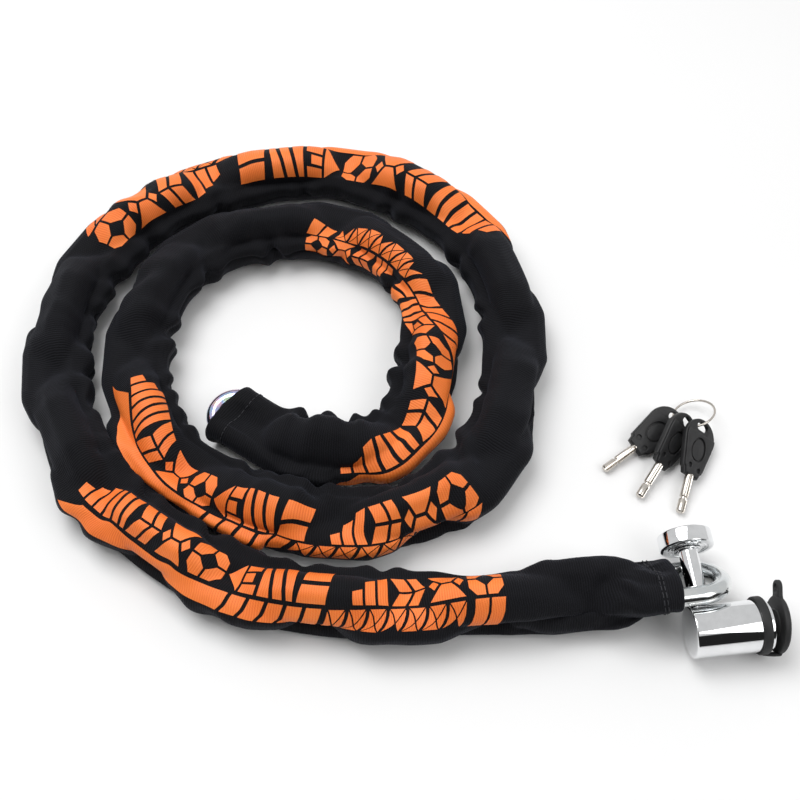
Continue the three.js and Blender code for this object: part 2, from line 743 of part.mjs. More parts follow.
function buildKeys() {
  const keys = new THREE.Group();
  const turn = (object, { heading, roll, pitch }) =>
    object.rotation.set(degrees(roll), degrees(pitch), degrees(heading), "ZYX");
  KEYS.forEach((pose, item) => {
    const key = new THREE.Group();
    key.position.set(...pose.hole);
    turn(key, pose);
    key.add(named(`key_bow_${item + 1}`, bowGeometry(), materials.plastic));
    key.add(named(`key_blade_${item + 1}`, bladeGeometry(), materials.nickel));
    keys.add(key);
  });
  const ringShape = new THREE.TorusGeometry(RING_RADIUS, RING_WIRE / 2, 6, 28);
  const ring = named("key_ring", ringShape, materials.nickel);
  ring.position.set(...RING.middle);
  turn(ring, RING);
  keys.add(ring);
  return keys;
}

// ---- Whole object ------------------------------------------------------------------------

const curve = sleeveCurve();
const chainLock = new THREE.Group();
chainLock.add(buildSleeve(curve), buildChain(curve), buildLock(), buildKeys());
chainLock.position.copy(FRAME_SHIFT);

export default chainLock;
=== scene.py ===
"""A sleeved security chain with its barrel lock and keys, lying in a loose coil."""
import json
import math
import random

import bmesh
import bpy
import numpy as np
from mathutils import Matrix, Vector
from mathutils.bvhtree import BVHTree
from mathutils.kdtree import KDTree


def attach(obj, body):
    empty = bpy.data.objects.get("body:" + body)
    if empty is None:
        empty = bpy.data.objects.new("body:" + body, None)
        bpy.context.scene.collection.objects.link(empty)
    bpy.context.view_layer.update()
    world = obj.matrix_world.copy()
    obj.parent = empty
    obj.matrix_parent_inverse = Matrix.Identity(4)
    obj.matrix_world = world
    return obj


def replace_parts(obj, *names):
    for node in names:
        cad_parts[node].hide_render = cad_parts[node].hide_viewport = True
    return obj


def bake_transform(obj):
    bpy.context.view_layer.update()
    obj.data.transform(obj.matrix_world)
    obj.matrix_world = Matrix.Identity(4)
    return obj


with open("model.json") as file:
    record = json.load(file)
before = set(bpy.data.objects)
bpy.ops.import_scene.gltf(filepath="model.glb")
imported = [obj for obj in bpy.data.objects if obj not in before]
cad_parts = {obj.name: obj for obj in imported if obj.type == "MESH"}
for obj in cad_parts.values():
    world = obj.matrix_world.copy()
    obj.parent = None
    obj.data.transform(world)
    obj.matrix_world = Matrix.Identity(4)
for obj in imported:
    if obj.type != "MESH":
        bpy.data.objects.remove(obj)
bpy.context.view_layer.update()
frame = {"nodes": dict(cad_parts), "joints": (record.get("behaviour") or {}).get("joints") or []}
scene = bpy.context.scene
joints = {joint["name"]: joint for joint in frame["joints"]}

# ---- Places shared with the CAD model, in metres ------------------------------------------

FRAME_SHIFT = Vector((0.01505, -0.01357, 0))

# The sleeve's centre line from the hem to the open mouth, in millimetres around the coil's
# middle: x, y and, where the sleeve isn't full, half width, half height and tilt in degrees.
ROUTE = [
    (145.3, -126.9, 22, 10.9, 46.5), (131, -127.8, 22.4, 14.3, 40.7),
    (110, -131.2, 22.5, 18.7, 0), (80, -134), (40, -137), (0, -139), (-42, -138), (-82, -129),
    (-118, -111), (-151, -87), (-178, -59), (-196, -26), (-205, 10), (-206, 46), (-198, 82),
    (-179, 116), (-149, 143), (-113, 161), (-75, 169), (-37, 168), (-2, 157),
    (29, 135), (53, 104), (67, 66), (69, 28), (64, -12), (49, -50), (24, -78),
    (-8, -90), (-42, -91), (-75, -83), (-107, -67), (-134, -45), (-151, -15),
    (-158, 20), (-155, 56), (-140, 88), (-113, 111), (-79, 121), (-44, 118),
    (-12, 104), (11, 80), (20, 50), (20, 20), (15, -9), (3, -33), (-17, -45),
    (-44, -46, 21.5, 18.5, 0), (-69, -38, 20.5, 18.4, 0), (-90, -25.5, 20.2, 15.6, 0),
    (-101, -17, 19.7, 13.2, 0),
]
FULL_SECTION = (22.5, 18.5, 0)
MM = 0.001

# Each key's ring hole in millimetres around the coil's middle, and its turns in degrees.
KEYS = [
    {"hole": (161.1, -18.3, 7.8), "heading": 215.5, "roll": -24, "pitch": 5},
    {"hole": (166.1, -24, 13.3), "heading": 234.8, "roll": -51, "pitch": 10.5},
    {"hole": (174.9, -27.1, 12.9), "heading": 251, "roll": -38, "pitch": 10.5},
]
KEY_RING = {"middle": (172.8, -15.5, 9.9), "heading": 1.7, "roll": 158.6, "pitch": -18.7}

# ---- Camera ------------------------------------------------------------------------------

CAMERA_DISTANCE = 0.670
CAMERA_ELEVATION = math.radians(58)

camera_data = bpy.data.cameras.new("camera")
camera_data.lens = 50
camera_data.sensor_width = 36
camera_data.clip_start = 0.01
camera = bpy.data.objects.new("camera", camera_data)
camera.location = FRAME_SHIFT + Vector(
    (0, -math.cos(CAMERA_ELEVATION), math.sin(CAMERA_ELEVATION))
) * CAMERA_DISTANCE
camera.rotation_euler = (math.pi / 2 - CAMERA_ELEVATION, 0, 0)
scene.collection.objects.link(camera)
scene.camera = camera


# ---- Mesh helpers ------------------------------------------------------------------------

def add_object(name, mesh, body, look=None):
    """Puts a finished mesh, already in the row frame, into the scene on its CAD body."""
    piece = bpy.data.objects.new(name, mesh)
    scene.collection.objects.link(piece)
    if look is not None:
        mesh.materials.clear()
        mesh.materials.append(look)
    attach(piece, body)
    return piece


def shade(mesh, sharp_degrees=38):
    """Smooth shading with the sharper edges kept sharp."""
    limit = math.radians(sharp_degrees)
    work = bmesh.new()
    work.from_mesh(mesh)
    for face in work.faces:
        face.smooth = True
    for edge in work.edges:
        edge.smooth = len(edge.link_faces) == 2 and edge.calc_face_angle(0) < limit
    work.to_mesh(mesh)
    work.free()
    return mesh


def grid_mesh(name, points, wrap_rows=False, wrap_columns=True, caps=False):
    """A mesh over an array of points, rows by columns. Rows run along the piece."""
    rows, columns = points.shape[:2]
    index = np.arange(rows * columns).reshape(rows, columns)
    faces = []
    for row in range(rows if wrap_rows else rows - 1):
        upper = (row + 1) % rows
        for column in range(columns if wrap_columns else columns - 1):
            right = (column + 1) % columns
            faces.append(
                (index[row, column], index[row, right], index[upper, right], index[upper, column])
            )
    if caps:
        faces.append(tuple(index[0][::-1]))
        faces.append(tuple(index[-1]))
    mesh = bpy.data.meshes.new(name)
    mesh.from_pydata(points.reshape(-1, 3).tolist(), [], [list(map(int, f)) for f in faces])
    mesh.update()
    return mesh


def close_outward(mesh):
    """Points the faces of a closed mesh outwards."""
    work = bmesh.new()
    work.from_mesh(mesh)
    bmesh.ops.remove_doubles(work, verts=work.verts, dist=1e-7)
    bmesh.ops.recalc_face_normals(work, faces=work.faces)
    work.to_mesh(mesh)
    work.free()
    return mesh


def lathe(name, profile, place, sides=96):
    """A round solid about local X. The profile is a list of (x, radius) in metres."""
    angles = np.linspace(0, 2 * math.pi, sides, endpoint=False)
    rings = [
        [(x, radius * math.cos(a), radius * math.sin(a)) for a in angles]
        for x, radius in profile
    ]
    mesh = grid_mesh(name, np.array(rings), caps=profile[0] != profile[-1])
    close_outward(mesh)
    mesh.transform(place)
    return shade(mesh)


def rounded(profile, radius, steps=4):
    """Rounds the inner corners of an open profile of (x, radius) points."""
    points = [Vector(p) for p in profile]
    result = [profile[0]]
    for before, corner, after in zip(points, points[1:], points[2:]):
        reach = min(radius, (before - corner).length * 0.45, (after - corner).length * 0.45)
        start = corner + (before - corner).normalized() * reach
        end = corner + (after - corner).normalized() * reach
        for step in range(steps + 1):
            share = step / steps
            point = start.lerp(corner, share).lerp(corner.lerp(end, share), share)
            result.append((point.x, point.y))
    result.append(profile[-1])
    return result


def sweep(name, path, radius, sides=20, closed=False, place=None):
    """A round wire along a path of points in metres."""
    count = len(path)
    rings = []
    normal = None
    for number, point in enumerate(path):
        ahead = path[(number + 1) % count] if closed or number < count - 1 else point
        behind = path[number - 1] if closed or number > 0 else point
        along = (ahead - behind).normalized()
        if normal is None:
            normal = along.orthogonal().normalized()
        normal = (normal - along * normal.dot(along)).normalized()
        across = along.cross(normal)
        wire = radius[number] if isinstance(radius, (list, tuple)) else radius
        rings.append([
            tuple(point + (normal * math.cos(a) + across * math.sin(a)) * wire)
            for a in np.linspace(0, 2 * math.pi, sides, endpoint=False)
        ])
    mesh = grid_mesh(name, np.array(rings), wrap_rows=closed, caps=not closed)
    close_outward(mesh)
    if place is not None:
        mesh.transform(place)
    return shade(mesh, 60)


def extruded(name, outlines, thickness, place, bevel=0.0003, resolution=3):
    """A flat plate in local XY with rounded edges. The later outlines are its holes."""
    data = bpy.data.curves.new(name, "CURVE")
    data.dimensions = "2D"
    data.fill_mode = "BOTH"
    data.extrude = thickness / 2 - bevel
    data.bevel_depth = bevel
    data.bevel_resolution = resolution
    data.offset = -bevel
    for outline in outlines:
        spline = data.splines.new("POLY")
        spline.points.add(len(outline) - 1)
        for point, (x, y) in zip(spline.points, outline):
            point.co = (x, y, 0, 1)
        spline.use_cyclic_u = True
    holder = bpy.data.objects.new(name + "_outline", data)
    scene.collection.objects.link(holder)
    bpy.context.view_layer.update()
    mesh = bpy.data.meshes.new_from_object(
        holder.evaluated_get(bpy.context.evaluated_depsgraph_get())
    )
    bpy.data.objects.remove(holder)
    bpy.data.curves.remove(data)
    mesh.name = name
    close_outward(mesh)
    mesh.transform(place)
    return shade(mesh, 30)


def arc(x, y, radius, start, end, steps=16):
    """Points on an arc, angles in degrees."""
    return [
        (x + radius * math.cos(math.radians(a)), y + radius * math.sin(math.radians(a)))
        for a in np.linspace(start, end, steps + 1)
    ]


def placed(middle, heading, roll, pitch):
    """The place of a piece from its point in millimetres and its turns in degrees."""
    turn = (
        Matrix.Rotation(math.radians(heading), 4, "Z")
        @ Matrix.Rotation(math.radians(pitch), 4, "Y")
        @ Matrix.Rotation(math.radians(roll), 4, "X")
    )
    return Matrix.Translation(FRAME_SHIFT + Vector(middle) * MM) @ turn


def cad_place(node):
    """A CAD node's middle and its axes, with X along its longest side and Z its thinnest."""
    vertices = frame["nodes"][node].data.vertices
    points = np.array([v.co for v in vertices], float).reshape(-1, 3)
    middle = points.mean(0)
    _, _, axes = np.linalg.svd(points - middle, full_matrices=False)
    along, across = Vector(axes[0]), Vector(axes[1])
    up = along.cross(across)
    turn = Matrix((along, across, up)).transposed().to_4x4()
    return Matrix.Translation(Vector(middle)) @ turn


def joined(name, meshes):
    """One mesh from several."""
    work = bmesh.new()
    for mesh in meshes:
        work.from_mesh(mesh)
    result = bpy.data.meshes.new(name)
    work.to_mesh(result)
    work.free()
    return result


# ---- Materials ---------------------------------------------------------------------------

class Look:
    """A node material under construction."""

    def __init__(self, name):
        self.material = bpy.data.materials.new(name)
        self.material.use_nodes = True
        self.tree = self.material.node_tree
        self.shader = self.tree.nodes["Principled BSDF"]

    def set(self, **values):
        for socket, value in values.items():
            self.shader.inputs[socket.replace("_", " ")].default_value = value

    def node(self, kind, inputs=(), **settings):
        made = self.tree.nodes.new(kind)
        for setting, value in settings.items():
            setattr(made, setting, value)
        for socket, value in dict(inputs).items():
            if isinstance(value, bpy.types.NodeSocket):
                self.tree.links.new(value, made.inputs[socket])
            else:
                made.inputs[socket].default_value = value
        return made

    def math(self, operation, first, second=0.0):
        return self.node("ShaderNodeMath", {0: first, 1: second}, operation=operation).outputs[0]

    def mix(self, first, second, share):
        """The sum of two heights, the second with this share of one."""
        return self.math(
            "ADD", self.math("MULTIPLY", first, 1 - share), self.math("MULTIPLY", second, share)
        )

    def noise(self, scale, detail=3.0, vector=None):
        place = vector or self.node("ShaderNodeTexCoord").outputs["Object"]
        return self.node(
            "ShaderNodeTexNoise", {"Vector": place, "Scale": scale, "Detail": detail}
        ).outputs[0]

    def ramp(self, factor, *stops):
        made = self.node("ShaderNodeValToRGB", {"Fac": factor})
        elements = made.color_ramp.elements
        while len(elements) < len(stops):
            elements.new(0.5)
        for element, (position, color) in zip(elements, stops):
            element.position = position
            element.color = (*color, 1) if len(color) == 3 else color
        return made.outputs["Color"]

    def grey(self, factor, low, high):
        return self.node(
            "ShaderNodeMapRange", {"Value": factor, "To Min": low, "To Max": high}
        ).outputs[0]

    def link(self, socket, value):
        self.tree.links.new(value, self.shader.inputs[socket])

    def bump(self, height, distance, strength=1.0, then=None):
        inputs = {"Height": height, "Distance": distance, "Strength": strength}
        if then is not None:
            inputs["Normal"] = then
        normal = self.node("ShaderNodeBump", inputs).outputs[0]
        self.link("Normal", normal)
        return normal


def woven(look, rib_pitch=0.00125, thread_pitch=0.0009):
    """The height of a ribbed weave. Its map runs along and around the sleeve in metres."""
    where = look.node("ShaderNodeUVMap", uv_map="cloth").outputs["UV"]
    drift = look.noise(90, 2, where)
    parts = look.node("ShaderNodeSeparateXYZ", {0: where})
    along = look.math("ADD", parts.outputs["X"], look.math("MULTIPLY", drift, 0.0016))
    around = parts.outputs["Y"]
    rib = look.math("SINE", look.math("MULTIPLY", along, 2 * math.pi / rib_pitch))
    twill = look.math("ADD", around, look.math("MULTIPLY", along, 0.5))
    thread = look.math("SINE", look.math("MULTIPLY", twill, 2 * math.pi / thread_pitch))
    weave = look.math("ADD", look.math("MULTIPLY", rib, 0.36), look.math("MULTIPLY", thread, 0.14))
    return look.math("ADD", weave, 0.5)


def fabric_look():
    look = Look("sleeve_fabric")
    height = woven(look)
    cloudy = look.noise(14, 4)
    fuzz = look.noise(1400, 3)
    # Base colour: darker in the weave's grooves and lighter on its ridges, which is painted shade,
    # with a cloudy random tone mixed in.
    color = look.ramp(
        look.mix(height, cloudy, 0.45),
        (0.18, (0.0022, 0.0022, 0.0028)),
        (0.5, (0.0050, 0.0051, 0.0068)),
        (0.85, (0.0110, 0.0113, 0.0150)),
    )
    look.link("Base Color", color)
    look.link("Roughness", look.grey(fuzz, 0.72, 0.95))
    look.set(Sheen_Weight=0.06, Sheen_Roughness=0.4, Sheen_Tint=(0.7, 0.75, 1.0, 1))
    look.set(Specular_IOR_Level=0.18)
    first = look.bump(fuzz, 0.00012, 0.5)
    look.bump(height, 0.0003, 0.9, first)
    return look.material


def print_look():
    look = Look("orange_print")
    height = woven(look)
    cloudy = look.noise(26, 4)
    # Ink colour: darker in the weave's grooves and lighter on its ridges, which is painted shade,
    # with a cloudy random tone in the ink mixed in.
    color = look.ramp(
        look.mix(height, cloudy, 0.65),
        (0.2, (0.80, 0.135, 0.012)),
        (0.55, (1.0, 0.225, 0.035)),
        (0.9, (1.0, 0.29, 0.06)),
    )
    look.link("Base Color", color)
    look.link("Roughness", look.grey(look.noise(600, 2), 0.45, 0.68))
    look.bump(height, 0.00022, 0.75)
    return look.material


def metal_look(name, tints, rough, scratch=0.25, grain=160):
    """Plated metal: slow tint changes, faint smears in its gloss and fine scratches."""
    look = Look(name)
    if len(tints) > 1:
        stops = [(0.22 + 0.56 * n / (len(tints) - 1), tint) for n, tint in enumerate(tints)]
    else:
        stops = [(0.3, tuple(c * 0.9 for c in tints[0])), (0.7, tints[0])]
    look.link("Base Color", look.ramp(look.noise(grain, 4), *stops))
    look.set(Metallic=1.0)
    look.link("Roughness", look.grey(look.noise(420, 5), rough * 0.6, rough * 1.5))
    stretched = look.node(
        "ShaderNodeMapping",
        {"Vector": look.node("ShaderNodeTexCoord").outputs["Object"], "Scale": (300, 5200, 2400)},
    ).outputs[0]
    look.bump(look.noise(1, 4, stretched), 0.00001, scratch)
    return look.material


def moulded_look(name, cloud_scale, colors, grain, rough, strength):
    """A moulded surface: two close colours in soft clouds under a fine grain."""
    look = Look(name)
    speck = look.noise(*grain)
    low, high = colors
    look.link("Base Color", look.ramp(look.noise(cloud_scale, 4), (0.3, low), (0.7, high)))
    look.link("Roughness", look.grey(speck, *rough))
    look.bump(speck, 0.00003, strength)
    return look.material


def thread_look():
    look = Look("hem_thread")
    twist = look.noise(2500, 2)
    color = look.ramp(twist, (0.3, (0.012, 0.012, 0.015)), (0.7, (0.032, 0.033, 0.04)))
    look.link("Base Color", color)
    look.set(Roughness=0.7)
    look.bump(twist, 0.00005, 0.6)
    return look.material


FABRIC = fabric_look()
PRINT = print_look()
THREAD = thread_look()
CHROME = metal_look("polished_chrome", [(0.86, 0.87, 0.88)], 0.045, scratch=0.1)
ZINC = metal_look("bright_zinc", [
    (0.70, 0.71, 0.70), (0.78, 0.79, 0.78), (0.70, 0.73, 0.74), (0.76, 0.74, 0.69),
], 0.16, grain=70)
IRIDESCENT = metal_look("yellow_zinc", [
    (0.78, 0.66, 0.28), (0.60, 0.78, 0.55), (0.42, 0.55, 0.86), (0.80, 0.55, 0.70),
    (0.86, 0.80, 0.45),
], 0.17, grain=85)
NICKEL = metal_look("nickel_plate", [(0.66, 0.62, 0.57)], 0.2, scratch=0.6, grain=240)
BRASS = metal_look("turned_brass", [(0.72, 0.56, 0.28)], 0.3, scratch=0.8)
STEEL = metal_look("ground_steel", [(0.5, 0.51, 0.52)], 0.3, scratch=0.8)
RUBBER = moulded_look(
    "dust_cover_rubber", 120, ((0.008, 0.008, 0.0085), (0.018, 0.018, 0.019)),
    grain=(2600, 3), rough=(0.5, 0.78), strength=0.5,
)
PLASTIC = moulded_look(
    "key_plastic", 200, ((0.011, 0.011, 0.012), (0.020, 0.020, 0.021)),
    grain=(3000, 2), rough=(0.36, 0.6), strength=0.6,
)


# ---- Sleeve ------------------------------------------------------------------------------

def travelled(points):
    """How far along a line of points each one lies."""
    steps = np.linalg.norm(np.diff(points, axis=0), axis=1)
    return np.concatenate([[0], np.cumsum(steps)])


def route_line(step=0.001):
    """The centre line at even steps: its points, each one's place in ROUTE and its travel."""
    knots = np.array([(x, y) for x, y, *_ in ROUTE], float)
    before = 2 * knots[0] - knots[1]
    after = 2 * knots[-1] - knots[-2]
    padded_knots = np.vstack([before, knots, after])
    points, places = [], []
    for number in range(len(knots) - 1):
        p0, p1, p2, p3 = padded_knots[number:number + 4]
        a, b, c = [np.linalg.norm(q - p) ** 0.5 for p, q in ((p0, p1), (p1, p2), (p2, p3))]
        t1 = b * ((p1 - p0) / a - (p2 - p0) / (a + b) + (p2 - p1) / b)
        t2 = b * ((p2 - p1) / b - (p3 - p1) / (b + c) + (p3 - p2) / c)
        for u in np.linspace(0, 1, 24, endpoint=False):
            points.append(
                (2 * u**3 - 3 * u**2 + 1) * p1 + (u**3 - 2 * u**2 + u) * t1
                + (-2 * u**3 + 3 * u**2) * p2 + (u**3 - u**2) * t2
            )
            places.append(number + u)
    points.append(knots[-1])
    places.append(len(knots) - 1)
    points = np.array(points) * MM
    travel = travelled(points)
    count = int(round(travel[-1] / step)) + 1
    even = np.linspace(0, travel[-1], count)
    line = np.stack([np.interp(even, travel, points[:, axis]) for axis in (0, 1)], axis=1)
    return line + np.array(FRAME_SHIFT[:2]), np.interp(even, travel, places), even


def section_at(place):
    """Half width, half height and tilt of the sleeve at a place in the list of points."""
    before = min(int(place), len(ROUTE) - 2)
    share = place - before
    share = share * share * (3 - 2 * share)
    near = np.array(ROUTE[before][2:] or FULL_SECTION, float)
    far = np.array(ROUTE[before + 1][2:] or FULL_SECTION, float)
    return near + (far - near) * share


SLEEVE_STEP = 0.0034
AROUND = 44
CORNER_POWER = 0.77  # 1 would make the sleeve's section an ellipse
LINE, LINE_PLACES, LINE_TRAVEL = route_line()
SLEEVE_LENGTH = float(LINE_TRAVEL[-1])


def line_at(s):
    return np.array([np.interp(s, LINE_TRAVEL, LINE[:, axis]) for axis in (0, 1)] + [0])


def squared(value, power):
    """A sine or cosine bent so that it draws a squarer curve than a circle."""
    return np.sign(value) * np.abs(value) ** power


def waves(count, seed, low, high):
    """Random sine waves over the flat cloth: numbers per metre along and around, and a phase."""
    draw = random.Random(seed)
    return [
        (draw.uniform(low, high), draw.uniform(-high, high) * 0.8, draw.uniform(0, 2 * math.pi))
        for _ in range(count)
    ]


def rumple(s, t, set_of_waves):
    total = np.zeros(np.broadcast(s, t).shape)
    for along, around, phase in set_of_waves:
        total += np.sin(2 * math.pi * (along * s + around * t) + phase)
    return total / math.sqrt(len(set_of_waves))


def even_ring(points, count):
    """Points spaced evenly round a closed ring, from its first point, and the ring's length."""
    closed = np.vstack([points, points[:1]])
    travel = travelled(closed)
    even = np.linspace(0, travel[-1], count, endpoint=False)
    ring = np.stack([np.interp(even, travel, closed[:, axis]) for axis in range(3)], axis=1)
    return ring, travel[-1]


def sleeve_grid():
    """The sleeve's points before folding: stations along it by points around it."""
    stations = np.linspace(0, SLEEVE_LENGTH, int(round(SLEEVE_LENGTH / SLEEVE_STEP)) + 1)
    angles = np.linspace(0, 2 * math.pi, 180, endpoint=False) + math.pi / 2
    reach = 0.004
    rings, girths = [], []
    for s in stations:
        along = line_at(s + reach) - line_at(s - reach)
        along /= np.linalg.norm(along)
        side = np.array([-along[1], along[0], 0])
        half_width, half_height, tilt = section_at(np.interp(s, LINE_TRAVEL, LINE_PLACES))
        lean = math.radians(tilt)
        wide = squared(np.cos(angles), CORNER_POWER) * half_width * MM
        high = squared(np.sin(angles), CORNER_POWER) * half_height * MM
        across = wide * math.cos(lean) - high * math.sin(lean)
        rise = wide * math.sin(lean) + high * math.cos(lean)
        ring = line_at(s) + across[:, None] * side + rise[:, None] * np.array([0, 0, 1])
        ring[:, 2] -= ring[:, 2].min()
        # The ring starts at its crown and turns towards the outside of the coil.
        crown = int(np.argmax(ring[:, 2] - 0.02 * np.abs(across)))
        ring = np.roll(ring, -crown, axis=0)
        if np.dot(ring[20] - ring[0], side) < 0:
            ring = np.roll(ring[::-1], 1, axis=0)
        even, girth = even_ring(ring, AROUND)
        rings.append(even)
        girths.append(girth)
    return stations, np.array(rings), np.array(girths)


def grid_normals(rings):
    along = np.gradient(rings, axis=0)
    around = np.roll(rings, -1, axis=1) - np.roll(rings, 1, axis=1)
    normals = np.cross(around, along)
    normals /= np.linalg.norm(normals, axis=2, keepdims=True) + 1e-12
    outward = rings - rings.mean(axis=1, keepdims=True)
    if (normals * outward).sum() < 0:
        normals = -normals
    return normals


# Deep folds: place from the hem and across the crown (positive outwards) of each fold's ends in
# millimetres, its depth and its half width. It is deepest at its first end.
FOLDS = [
    (36, -2, 57, 33, 4.2, 6), (34, 6, 14, 10, 3.0, 4), (72, -34, 80, -16, 2.6, 6),
    (96, 38, 90, 22, 3.0, 6), (150, -38, 160, -14, 3.0, 6), (205, -38, 196, -16, 2.8, 7),
    (264, -36, 249, 0, 4.6, 7), (312, -34, 295, 14, 3.6, 7), (345, -38, 352, -10, 3.0, 6),
    (414, -38, 424, -6, 5.4, 8), (440, -30, 452, 4, 2.6, 7), (502, -38, 498, -6, 5.0, 8),
    (470, -38, 464, -14, 3.0, 6), (545, -36, 538, -2, 4.0, 8), (600, -38, 612, -6, 3.2, 7),
    (668, -36, 660, -6, 2.6, 6), (735, -38, 745, -8, 3.0, 7), (812, -36, 800, 0, 3.8, 8),
    (862, -38, 872, -4, 3.4, 7), (925, -38, 930, -10, 3.0, 6), (968, -36, 990, 2, 3.8, 7),
    (1030, -38, 1024, -8, 3.0, 7), (1083, -32, 1078, 18, 4.6, 6), (1128, -38, 1118, -2, 3.4, 7),
    (1185, -38, 1192, 2, 3.4, 7), (1222, -34, 1214, 0, 3.0, 6), (1268, -38, 1262, 4, 5.4, 8),
    (1328, -38, 1345, -2, 4.6, 8), (1392, -38, 1384, -14, 5.6, 7), (1440, -38, 1450, -8, 3.2, 7),
    (1500, -36, 1490, -6, 3.6, 7), (1570, -38, 1569, 4, 5.4, 7), (1618, -38, 1604, 2, 3.4, 7),
    (1656, -34, 1646, 6, 4.6, 7), (1678, -34, 1682, 22, 4.8, 7), (450, 8, 470, 36, 3.0, 9),
    (560, 6, 540, 34, 2.6, 8), (900, 4, 880, 34, 3.0, 9), (940, 34, 955, 8, 2.4, 8),
    (1300, 6, 1280, 32, 2.6, 8), (1365, 4, 1380, 34, 2.6, 8), (180, 38, 172, 24, 2.6, 7),
    (236, 38, 246, 24, 2.8, 7), (330, 38, 322, 20, 2.6, 7),
]


SOFT_DENT = 0.0016
RUFFLE = 0.0005


def fold_depth(s, t):
    """The depth of the deep folds over the flat cloth, each with a raised lip beside it."""
    depth = np.zeros(np.broadcast(s, t).shape)
    for s0, t0, s1, t1, deep, wide in FOLDS:
        start = np.array([s0, t0]) * MM
        run = np.array([s1, t1]) * MM - start
        length = np.linalg.norm(run)
        along = ((s - start[0]) * run[0] + (t - start[1]) * run[1]) / length
        aside = ((s - start[0]) * run[1] - (t - start[1]) * run[0]) / length
        fade = np.clip(along / length, 0, 1)
        beyond = np.maximum(0, np.maximum(-along, along - length)) / (wide * MM)
        fade = np.exp(-beyond ** 2) * (1 - 0.75 * fade ** 2)
        spread = aside / (wide * MM)
        crease = -np.exp(-(spread * 1.6) ** 2)
        lips = 0.85 * np.exp(-((np.abs(spread) - 1.25) * 1.3) ** 2)
        depth += (crease + lips) * fade * deep * MM
    return depth


def fold(stations, rings, girths):
    """Soft dents where the fabric lies loose, deep folds and ruffles on the inside of bends."""
    s = stations[:, None]
    around = (np.arange(AROUND) / AROUND)[None, :]
    t = (around - (around > 0.5)) * girths[:, None]
    soft = rumple(s, t, waves(9, 3, 3, 12)) * SOFT_DENT
    creases = rumple(s, t, waves(12, 8, 9, 20))
    creases = -np.maximum(0, creases - 0.6) * SOFT_DENT
    inner = np.clip(-t / 0.03, 0, 1) * np.clip((0.07 + t) / 0.03, 0, 1)
    ruffle = rumple(s, t * 0.25, waves(5, 21, 18, 34)) * inner * RUFFLE
    top = np.clip(rings[:, :, 2] / 0.01, 0, 1)
    ends = np.clip(np.minimum(s, SLEEVE_LENGTH - s) / 0.02, 0.15, 1)
    lift = (soft + creases + ruffle + fold_depth(s, t)) * top * ends
    normals = grid_normals(BASE_RINGS)
    shift = rings - BASE_RINGS + normals * lift[:, :, None]
    rings = held_off_links(kept_clear(BASE_RINGS, shift, FOLDED_OUTWARD), normals)
    rings[:, :, 2] = np.maximum(rings[:, :, 2], FLOOR_GAP)
    return rings


def cloth_mesh(name, rings, stations, girths):
    """A tube of cloth with its map in metres along and around."""
    mesh = grid_mesh(name, rings)
    rows, columns = rings.shape[:2]
    layer = mesh.uv_layers.new(name="cloth")
    flat = np.empty(len(mesh.loops) * 2)
    corner = 0
    for row in range(rows - 1):
        low, high = stations[row], stations[row + 1]
        for column in range(columns):
            left = column / columns * girths[row]
            right = (column + 1) / columns * girths[row]
            flat[corner:corner + 8] = (low, left, low, right, high, right, high, left)
            corner += 8
    layer.data.foreach_set("uv", flat)
    for polygon in mesh.polygons:
        polygon.use_smooth = True
    return mesh


def spline_weights(share):
    """The four weights of a uniform cubic spline, which is what the subdivided cloth follows."""
    u = share[..., None]
    return [
        (1 - u) ** 3 / 6, (3 * u**3 - 6 * u**2 + 4) / 6,
        (-3 * u**3 + 3 * u**2 + 3 * u + 1) / 6, u**3 / 6,
    ]


def surface_sampler(stations, rings, girths):
    """Returns a function from the flat cloth, s and t in metres, to a point just off it."""
    normals = grid_normals(rings)

    def at(s, t, lift):
        row = np.clip(np.interp(s, stations, np.arange(len(stations))), 0, len(stations) - 1.001)
        column = (t / np.interp(s, stations, girths) * AROUND) % AROUND
        along = spline_weights(row - np.floor(row))
        around = spline_weights(column - np.floor(column))
        points = 0
        outward = 0
        for i in range(4):
            near = np.clip(row.astype(int) + i - 1, 0, len(stations) - 1)
            for j in range(4):
                side = (column.astype(int) + j - 1) % AROUND
                weight = along[i] * around[j]
                points = points + rings[near, side] * weight
                outward = outward + normals[near, side] * weight
        return points + outward / np.linalg.norm(outward, axis=-1, keepdims=True) * lift

    return at


SIM_SCALE = 10  # the simulation runs on a cloth ten times as large, where it is steadier
SIM_FRAMES = 26
CLOTH = {
    "quality": 6, "mass": 0.25, "air_damping": 2, "use_pressure": True,
    "uniform_pressure_force": 0.6, "tension_stiffness": 25, "compression_stiffness": 12,
    "shear_stiffness": 6, "bending_stiffness": 1.6, "tension_damping": 8,
    "compression_damping": 8, "shear_damping": 6, "bending_damping": 1,
}
GATHER = 1.06  # the cloth is this much longer than the line it lies along
FLOOR_GAP = 0.0004
SETTLED_OUTWARD = 0.0040  # how far out the settled and then the folded cloth may stand
FOLDED_OUTWARD = 0.0055
SIDEWAYS_LIMIT = 0.003
CHAIN_CLEARANCE = 0.0018
PUSH_LIMIT = 0.004
LEAST_ROOM = 0.0003
MOST_ROOM = 0.02
TURN_SPAN = 0.12  # points further apart along the sleeve than this lie on different turns
TURN_REACH = 0.011
TURN_GAP = 0.0008


def sim_object(name, points, wrap_columns=True):
    mesh = grid_mesh(name, points * SIM_SCALE, wrap_columns=wrap_columns)
    item = bpy.data.objects.new(name, mesh)
    scene.collection.objects.link(item)
    return item


